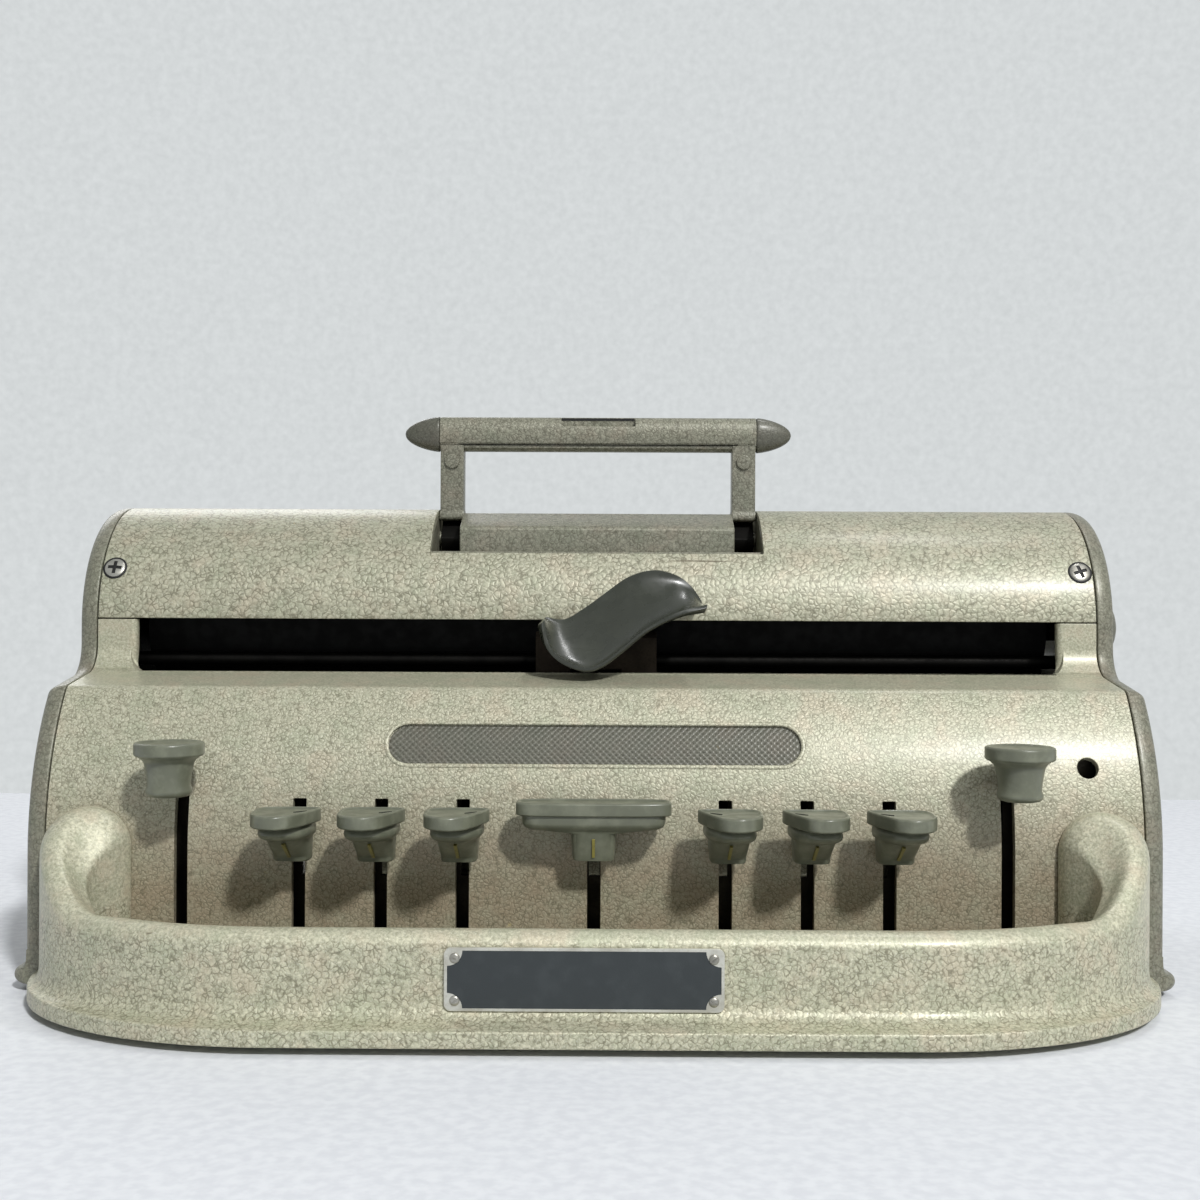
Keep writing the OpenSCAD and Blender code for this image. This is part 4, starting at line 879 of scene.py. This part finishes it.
def dot_cap(side):
    """Cap of a dot key at x = 0. side is 1 where the machine's middle lies to the right."""
    z, f, r, c = DOT_TOP_Z, DOT_FRONT_Y, DOT_FRONT_Y + DOT_LEN, DOT_CORNER
    rows = [  # widths in front and behind, front and rear depth, height, corner drawn back
        (9, 9.4, STEM_FRONT_Y + 1.2, STEM_REAR_Y - 0.8, z - 17.2, 0),
        (10.6, 11.2, STEM_FRONT_Y, STEM_REAR_Y - 0.2, z - 17.0, 0),
        (11.2, 11.8, STEM_FRONT_Y - 0.3, STEM_REAR_Y, z - 16.4, 0),
        (11.2, 11.8, STEM_FRONT_Y - 0.6, STEM_REAR_Y, z - 15.2, 0.2),
        (12.2, 13, f + 12.6, STEM_REAR_Y - 0.4, z - 9.6, 3),
        (12.6, 13.4, f + 11.4, STEM_REAR_Y - 0.8, z - 8.9, 4),
        (13.8, 15, f + 8.4, STEM_REAR_Y - 1.6, z - 8.5, 6),
        (14.8, 16.2, f + 6.0, r + 3.4, z - 7.7, 8),
        (15.2, 16.8, f + 5.0, r + 2.6, z - 6.6, 9),
        (15, 16.6, f + 5.2, r + 2.4, z - 5.6, 10),
        (14.3, 16.2, f + 6.0, r + 2.0, z - 4.9, 11),
        (14.2, 16.0, f + 6.0, r + 1.8, z - 4.5, 11.5),
        (16.6, 18.0, f + 2.4, r + 1.0, z - 4.3, 15),
        (18.0, 19.4, f + 0.5, r + 0.4, z - 4.15, 17.4),
        (18.5, 19.9, f + 0.08, r + 0.05, z - 3.9, 17.9),
        (18.6, 20, f, r, z - 3.6, c),
        (18.6, 20, f, r, z - 0.7, c),
        (18.45, 19.85, f + 0.1, r - 0.1, z - 0.3, c),
        (18.0, 19.4, f + 0.4, r - 0.3, z - 0.05, 17.8),
        (17.3, 18.7, f + 0.9, r - 0.6, z, 17.4),
        (16.7, 18.1, f + 1.4, r - 0.9, z - 0.12, 17),
        (16.0, 17.4, f + 2.0, r - 1.3, z - 0.55, 16.4),
        (8, 9, f + 6.5, r - 5, z - 0.7, 8)]
    return loft([cap_ring(*row, side=side) for row in rows])


def space_cap():
    """The space key's wide cap on its stem."""
    f, r, z, w = SPACE_FRONT_Y, SPACE_REAR_Y, DOT_TOP_Z + 2, SPACE_W
    rows = [  # widths in front and behind, front and rear depth, height
        (11, 11.4, STEM_FRONT_Y + 1.2, STEM_REAR_Y - 0.6, z - 18.6),
        (12.6, 13, STEM_FRONT_Y + 0.2, STEM_REAR_Y - 0.1, z - 18.4),
        (13.2, 13.6, STEM_FRONT_Y, STEM_REAR_Y, z - 17.6),
        (14.2, 14.6, STEM_FRONT_Y - 1.6, STEM_REAR_Y, z - 9.8)]
    plate = [  # how far it is drawn in across, in front and behind, and the depth below its top
        (8, 2.6, 0.2, 8.6), (5, 1.4, 0, 7.8), (3.8, 1, 0, 6.6), (3.6, 1, 0, 4.6), (3.6, 1, 0, 4.3),
        (1.2, 0.4, 0, 4.15), (0.2, 0.08, 0, 3.9), (0, 0, 0, 3.6), (0, 0, 0, 0.7), (0.2, 0.1, 0.1, 0.3),
        (0.8, 0.4, 0.3, 0.05), (1.6, 0.9, 0.6, 0), (2.4, 1.4, 0.9, 0.12), (3.4, 2, 1.4, 0.55),
        (16, 5, 4, 0.8)]
    rows += [(w - across, w - across, f + fore, r - aft, z - down) for across, fore, aft, down in plate]
    return loft([cap_ring(*row, n=72) for row in rows])


def round_cap():
    """Round key: a dished disc on a waisted neck, with a web behind that takes the lever."""
    r, neck = ROUND_KEY_D / 2, 7.5
    low = ROUND_FOOT_Z - ROUND_TOP_Z
    profile = [(0, low), (neck - 2.6, low), (neck - 1.2, low + 0.35), (neck - 0.5, low + 1.2),
               (neck - 0.35, low + 2.2), (neck - 0.9, low + 3.4), (neck - 0.7, low + 6),
               (neck - 0.2, low + 9), (neck + 0.1, -6.6), (neck + 0.6, -5.6), (neck + 1.5, -4.9),
               (r - 1.4, -4.5), (r - 0.5, -4.2), (r - 0.1, -3.8), (r, -3.4), (r, -0.8), (r - 0.15, -0.35),
               (r - 0.5, -0.06), (r - 1.1, 0), (r - 1.7, -0.15), (r - 2.6, -0.6), (0, -0.9)]
    body = revolve(profile, Matrix.Translation((0, ROUND_KEY_Y, ROUND_TOP_Z)), 64)
    return united(body, box((-2.4, ROUND_KEY_Y + 3, ROUND_FOOT_Z + 1),
                            (2.4, STEM_REAR_Y + 0.9, ROUND_FOOT_Z + 8)))


def moved(solid, x):
    """The solid shifted along X."""
    verts, faces = solid
    return [(px + x, y, z) for px, y, z in verts], faces


def key_marks(k, x, side):
    """Line of the lever's edge that shows in the stem, and the slit in the plate's top, whose dark fill is
    painted shade.
    k is the dot, or 0 for the space key, which has no slit."""
    top, low = (DOT_TOP_Z - 10.2, DOT_FRONT_Y + 12.0), (DOT_TOP_Z - 15.6, STEM_FRONT_Y - 0.9)
    if k == 0:
        top, low = (DOT_TOP_Z - 9.5, STEM_FRONT_Y - 1.6), (DOT_TOP_Z - 15.2, STEM_FRONT_Y - 0.35)
    out, half = 0.25, 0.45
    line = loft([[(x - half, y - out, z), (x + half, y - out, z), (x + half, y + 1, z + 0.4),
                  (x - half, y + 1, z + 0.4)] for z, y in (top, low)])
    body = f"dot_key_{k}" if k else "space_key"
    piece(f"key_{k}_line" if k else "space_line", line, BRASS_LINE, body=body)
    if k:
        # painted shade: a dark sliver standing in for the shade inside the slit
        cx, cy = x + SLIT_X * side, SLIT_Y
        bow = [(cx + side * (t - 0.5) * 3.6, cy + 1.5 * (t - 0.5) * 2) for t in (0, 0.25, 0.5, 0.75, 1)]
        wide = (0.1, 0.35, 0.45, 0.35, 0.1)
        ring = [(px, py - w) for (px, py), w in zip(bow, wide)]
        ring += [(px, py + w) for (px, py), w in reversed(list(zip(bow, wide)))]
        slit = loft([[(px, py, z) for px, py in ring] for z in (DOT_TOP_Z - 1.0, DOT_TOP_Z - 0.5)])
        piece(f"key_{k}_slit", slit, STEM_SLIT, body=body)


for k, x in DOT_X.items():
    side = 1 if x < 0 else -1
    piece(f"key_{k}_cap", moved(dot_cap(side), x), KEY, [f"dot_{k}_cap"], f"dot_key_{k}", sharp_deg=50)
    key_marks(k, x, side)
piece("space_key_cap", space_cap(), KEY, ["space_cap"], "space_key", sharp_deg=50)
key_marks(0, 0.0, 1)
round_mesh = tidy(round_cap())
for name, x in (("line", -ROUND_KEY_X), ("back", ROUND_KEY_X)):
    mesh = round_mesh.copy()
    mesh.transform(Matrix.Translation((x * MM, 0, 0)))
    piece(f"{name}_key_disc", mesh, KEY, [f"{name}_key_cap"], f"{name}_key", sharp_deg=45)
for lever in [f"dot_{k}_lever" for k in DOT_X] + ["space_lever", "line_key_lever", "back_key_lever"]:
    dress(lever, BLACKENED, 0.2)

# -------- carriage and head lever


def curve(points, t):
    """Catmull-Rom curve through the points, t from 0 to 1."""
    n = len(points) - 1
    i = min(int(t * n), n - 1)
    u = t * n - i
    p = [Vector(points[min(max(j, 0), n)]) for j in (i - 1, i, i + 1, i + 2)]
    return 0.5 * (2 * p[1] + (p[2] - p[0]) * u + (2 * p[0] - 5 * p[1] + 4 * p[2] - p[3]) * u ** 2
                  + (3 * p[1] - p[0] - 3 * p[2] + p[3]) * u ** 3)


def scoop():
    """The head lever's S-shaped trough, with rolled edges."""
    stations, thick = 56, 2.3
    across = (0, 0.03, 0.06, 0.09, 0.13, 0.2, 0.3, 0.4, 0.5, 0.6, 0.7, 0.8, 0.87, 0.91, 0.94, 0.97, 1)
    rings = []
    for i in range(stations + 1):
        t = i / stations
        f, r = curve(SCOOP_FRONT, t), curve(SCOOP_REAR, t)
        lead = SCOOP_FRONT_Y + 2.6 * (abs(t * 8 - 4) / 4) ** 2
        a, b = Vector((f.x, lead, f.y)), Vector((r.x, SCOOP_REAR_Y, r.y))
        t0, t1 = max(0, t - 0.02), min(1, t + 0.02)
        ahead = (curve(SCOOP_FRONT, t1) + curve(SCOOP_REAR, t1)
                 - curve(SCOOP_FRONT, t0) - curve(SCOOP_REAR, t0))
        along = Vector((ahead.x, 0, ahead.y)).normalized()
        down = (b - a).cross(along).normalized()
        if down.z > 0:
            down = -down
        sag = 1.9 * math.sin(math.pi * t) + 0.2
        upper = [a.lerp(b, s) + down * (sag * 4 * s * (1 - s) - 0.8 * max(0.0, 1 - min(s, 1 - s) / 0.12) ** 2)
                 for s in across]
        lower = [p + down * thick for p in upper]
        side = (b - a).normalized() * thick * 0.42
        mid_a, mid_b = (upper[0] + lower[0]) / 2 - side, (upper[-1] + lower[-1]) / 2 + side
        roll_b = [upper[-1].lerp(mid_b, 0.7) - down * 0.2, mid_b, lower[-1].lerp(mid_b, 0.7) + down * 0.2]
        roll_a = [lower[0].lerp(mid_a, 0.7) + down * 0.2, mid_a, upper[0].lerp(mid_a, 0.7) - down * 0.2]
        ring = upper + roll_b + list(reversed(lower)) + roll_a
        rings.append([tuple(p) for p in ring])
    return loft(rings)


boss = rod(BOSS_D, BOSS_L, turned(*BOSS_PLACE, "X", 90))
piece("head_lever_scoop", united(scoop(), boss), LEVER, ["head_lever"], "head_lever", sharp_deg=55)
dress("carriage", CARRIAGE, 0.15)

# -------- carrying handle


def handle_bar():
    """Bar of the handle: rounded front, flat lip below, and pointed ends set off by a seam."""
    straight = HANDLE_HALF - HANDLE_POINT

    def ring(x, k):
        """Cross-section at x, k times its full size."""
        return [(x, HANDLE_PIVOT_Y + k * (HANDLE_T / 2) * sgn_pow(math.cos(a), 0.9),
                 HANDLE_Z + k * (HANDLE_H / 2) * sgn_pow(math.sin(a), 0.9)) for a in turns(36)]

    def point(t):
        return math.sqrt(max(0.0004, 1 - t ** 1.5))

    bar = loft([ring(-straight + 0.15, 0.985), ring(straight - 0.15, 0.985)])
    steps = [0.0, 0.02, 0.08, 0.16, 0.25, 0.35, 0.45, 0.55, 0.65, 0.74, 0.82, 0.89, 0.94, 0.975, 1.0]
    tip = loft([ring(straight + t * HANDLE_POINT, point(t) * (0.955 if t == 0 else 1.0)) for t in steps])
    notch = box((-GRIP_NOTCH_HALF, HANDLE_PIVOT_Y - HANDLE_T, HANDLE_TOP - GRIP_NOTCH_DEPTH),
                (GRIP_NOTCH_HALF, GRIP_NOTCH_Y, HANDLE_Z + HANDLE_H))
    groove_z = HANDLE_LOW + 2.7
    lip = box((-straight + 7.4, HANDLE_PIVOT_Y - HANDLE_T, groove_z - 6),
              (straight - 7.4, HANDLE_PIVOT_Y - HANDLE_T / 2 + 1.5, groove_z))
    seam = box((-straight - 5, HANDLE_PIVOT_Y - HANDLE_T, groove_z - 0.1),
               (straight + 5, HANDLE_PIVOT_Y - HANDLE_T / 2 + 0.9, groove_z + 0.35))
    return cut(bar, notch, lip, seam), tip


def handle_arm():
    """One arm down to its foot, and the dark hinge eye below it."""
    y, z, foot = HANDLE_PIVOT_Y, HANDLE_PIVOT_Z, HANDLE_PIVOT_Z + 7.5
    x0, x1 = ARM_X - ARM_W / 2, ARM_X + ARM_W / 2
    levels = ((foot - 0.8, 3.8, 0.0), (foot, 4.6, 0.3), (foot + 2.2, 4.4, 0.2), (foot + 3.4, 3.6, 0.0),
              (HANDLE_LOW + 4, 3.6, 0.0))
    arm = loft([[(x0 - e, y - d, h), (x1 + e, y - d, h), (x1 + e, y + 3.6, h), (x0 - e, y + 3.6, h)]
                for h, d, e in levels])
    eye = along_x(x0 + 0.6, x1 - 0.6, arc(y, z, 5, 180, 360, 20) + [(y + 3.0, foot), (y + 1.0, foot)])
    return mesh_of("arm", *arm), cut(eye, rod(5.1, 30, turned(ARM_X - 15, y, z, "Y", 90)))


def rivet():
    """Rivet that holds the right arm to the bar."""
    disc = [(0, 0), (2.8, 0), (2.8, 0.9), (2.6, 1.15), (2.2, 1.25), (0, 1.25)]
    return revolve(disc, turned(ARM_X, HANDLE_PIVOT_Y - 3.4, HANDLE_LOW - 3.8, "X", 90), 36)


bar_mesh, tip = handle_bar()
piece("handle_bar", bar_mesh, BAR, ["carry_handle"], "handle", bevel=0.3, bevel_deg=50)
# painted shadow: a black strip along the rear top edge of the finger notch
notch_end = GRIP_NOTCH_HALF - 0.3
piece("handle_notch_shadow", box((-notch_end, GRIP_NOTCH_Y - 0.25, HANDLE_TOP - 1.3),
                               (notch_end, GRIP_NOTCH_Y + 0.3, HANDLE_TOP - 0.4)), BLACK, body="handle")
right_arm, right_eye = handle_arm()
HANDLE_ENDS = (("tip", tip, TIP, 0.0, 45), ("arm", right_arm, ARM, 0.5, 35),
               ("eye", right_eye, BLACKENED, 0.2, 35), ("rivet", rivet(), ARM, 0.0, 35))
for side in ("left", "right"):
    for part, shape, material, ease, sharp in HANDLE_ENDS:
        shape = mirrored(shape) if side == "left" else shape
        piece(f"handle_{part}_{side}", shape, material, body="handle", bevel=ease, sharp_deg=sharp)

# -------- the rest of the CAD nodes


def feed_knob(end_x):
    """Domed, fluted knob on the right end of the roller's shaft, out to end_x."""
    r, start = KNOB_D / 2, PLATE_OUT_X + KNOB_GAP
    length = end_x - start
    profile = [  # part of the length, radius, depth of the flutes
        (0.0, r - 2, 0), (0.03, r - 0.8, 0), (0.08, r - 0.2, 1), (0.14, r, 1), (0.4, r, 1),
        (0.52, r - 0.6, 0.8), (0.64, r - 1.9, 0.4), (0.76, r - 4.2, 0.1), (0.86, r - 7, 0),
        (0.94, r - 10, 0), (0.99, r - 13.4, 0)]
    rings = []
    for t, radius, flute in profile:
        spokes = [(radius - flute * max(0.0, math.cos(KNOB_FLUTES * a)) ** 3, a) for a in turns(144)]
        rings.append([(start + t * length, ROLLER_Y + r * math.cos(a), ROLLER_Z + r * math.sin(a))
                      for r, a in spokes])
    return loft(rings)


knob_end_x = CASE_HALF_W + KNOB_GAP + KNOB_L
piece("feed_knob_right", feed_knob(knob_end_x), KNOB, ["feed_knobs"], "roller", sharp_deg=60)
piece("feed_knob_left", mirrored(feed_knob(knob_end_x - LEFT_KNOB_SHORT)), KNOB, body="roller", sharp_deg=60)
EASED = (("rubber_feet", RUBBER, 0.2), ("paper_roller", ROLLER, 0.4), ("paper_release", DARK, 0.4),
         ("left_margin_stop", STEEL, 0.4), ("right_margin_stop", STEEL, 0.4), ("margin_rail", STEEL, 0.3),
         ("carriage_rods", BLACKENED, 0.2), ("line_ratchet", DARK, 0.1))
for node, material, ease in EASED:
    dress(node, material, ease)
KEPT = {"escapement_rack": DARK, "key_shaft": STEEL, "key_comb": DARK, "key_springs": BLACKENED,
        "bell": STEEL, "mainspring_drum": STEEL}
for k in range(1, 7):
    KEPT[f"emboss_bar_{k}"] = KEPT[f"emboss_pin_{k}"] = DARK
for name, material in KEPT.items():
    mesh = frame["nodes"][name].data
    mesh.materials.clear()
    mesh.materials.append(material[0])
    frame["nodes"][name].modifiers.new("normals", "WEIGHTED_NORMAL").keep_sharp = True

# -------- table, lights and camera

# the floor, in metres, ends where the photograph's wall begins
FLOOR_END_Y, FLOOR_REACH = 0.44, 1.5
floor_mesh = bpy.data.meshes.new("table_top")
floor_mesh.from_pydata([(-FLOOR_REACH, -FLOOR_REACH, 0), (FLOOR_REACH, -FLOOR_REACH, 0),
                        (FLOOR_REACH, FLOOR_END_Y, 0), (-FLOOR_REACH, FLOOR_END_Y, 0)], [], [(0, 1, 2, 3)])
floor = new_object("table_top", floor_mesh)
ground = Shader("pale_table", 0.75, specular=0.2)
ground.colour(ground.blend(ground.ramp(ground.noise(4), 0.3, 0.7),
                           srgb(222, 225, 230), srgb(232, 235, 239)))
ground.relief(ground.noise(3.0, 1.0), 0.25, 0.3)
floor_mesh.materials.append(ground.material)

# a soft studio light, and a pale beaded wall for camera, glossy and transmission rays
world = bpy.data.worlds.new("studio")
bpy.context.scene.world = world
world.use_nodes = True
sky = Nodes(world.node_tree)
studio = sky.tree.nodes["Background"]
studio.inputs["Color"].default_value = srgb(236, 238, 240)
studio.inputs["Strength"].default_value = 0.27
generated = sky.add("ShaderNodeTexCoord").outputs["Generated"]
beads = sky.add("ShaderNodeTexNoise", Vector=generated, Scale=230, Detail=1.5).outputs["Fac"]
backdrop = sky.add("ShaderNodeBackground", Color=sky.blend(beads, srgb(203, 207, 208), srgb(221, 225, 226)))
rays = sky.add("ShaderNodeLightPath").outputs
seen = sky.math("MAXIMUM", sky.math("MAXIMUM", rays["Is Camera Ray"], rays["Is Glossy Ray"]),
                rays["Is Transmission Ray"])
either = sky.add("ShaderNodeMixShader")
for socket, value in zip(either.inputs, (seen, studio.outputs[0], backdrop.outputs[0])):
    sky.put(socket, value)
sky.put(sky.tree.nodes["World Output"].inputs["Surface"], either.outputs[0])


def area_light(name, place, target, size, power):
    """Rectangular lamp aimed at a target, in metres and watts."""
    data = bpy.data.lights.new(name, "AREA")
    data.shape, data.size, data.size_y = "RECTANGLE", size[0], size[1]
    data.energy = power
    lamp = new_object(name, data)
    lamp.location = place
    lamp.rotation_euler = (Vector(target) - Vector(place)).to_track_quat("-Z", "Y").to_euler()


area_light("key_light", (1.35, -2.91, 2.70), (0, -0.03, 0.07), (0.29, 0.29), 128)
area_light("front_sheen", (0.55, -0.95, 1.15), (0.05, -0.03, 0.08), (0.8, 0.5), 3.0)
area_light("ceiling_tube", (0.33, 0.16, 1.3), (0.05, 0.02, 0.1), (0.28, 0.07), 2.2)
area_light("back_fill", (-0.70, 1.30, 1.0), (0, 0.03, 0.08), (1.0, 0.6), 7)

camera_data = bpy.data.cameras.new("view_from_the_keys")
camera_data.sensor_width = 36
camera_data.lens = 45
camera = new_object("view_from_the_keys", camera_data)
camera.location = (0.0045, -0.5283, 0.1269)
camera.rotation_euler = (math.radians(90), math.radians(-0.28), math.radians(0.35))
bpy.context.scene.camera = camera
bpy.context.scene.view_settings.view_transform = "Standard"
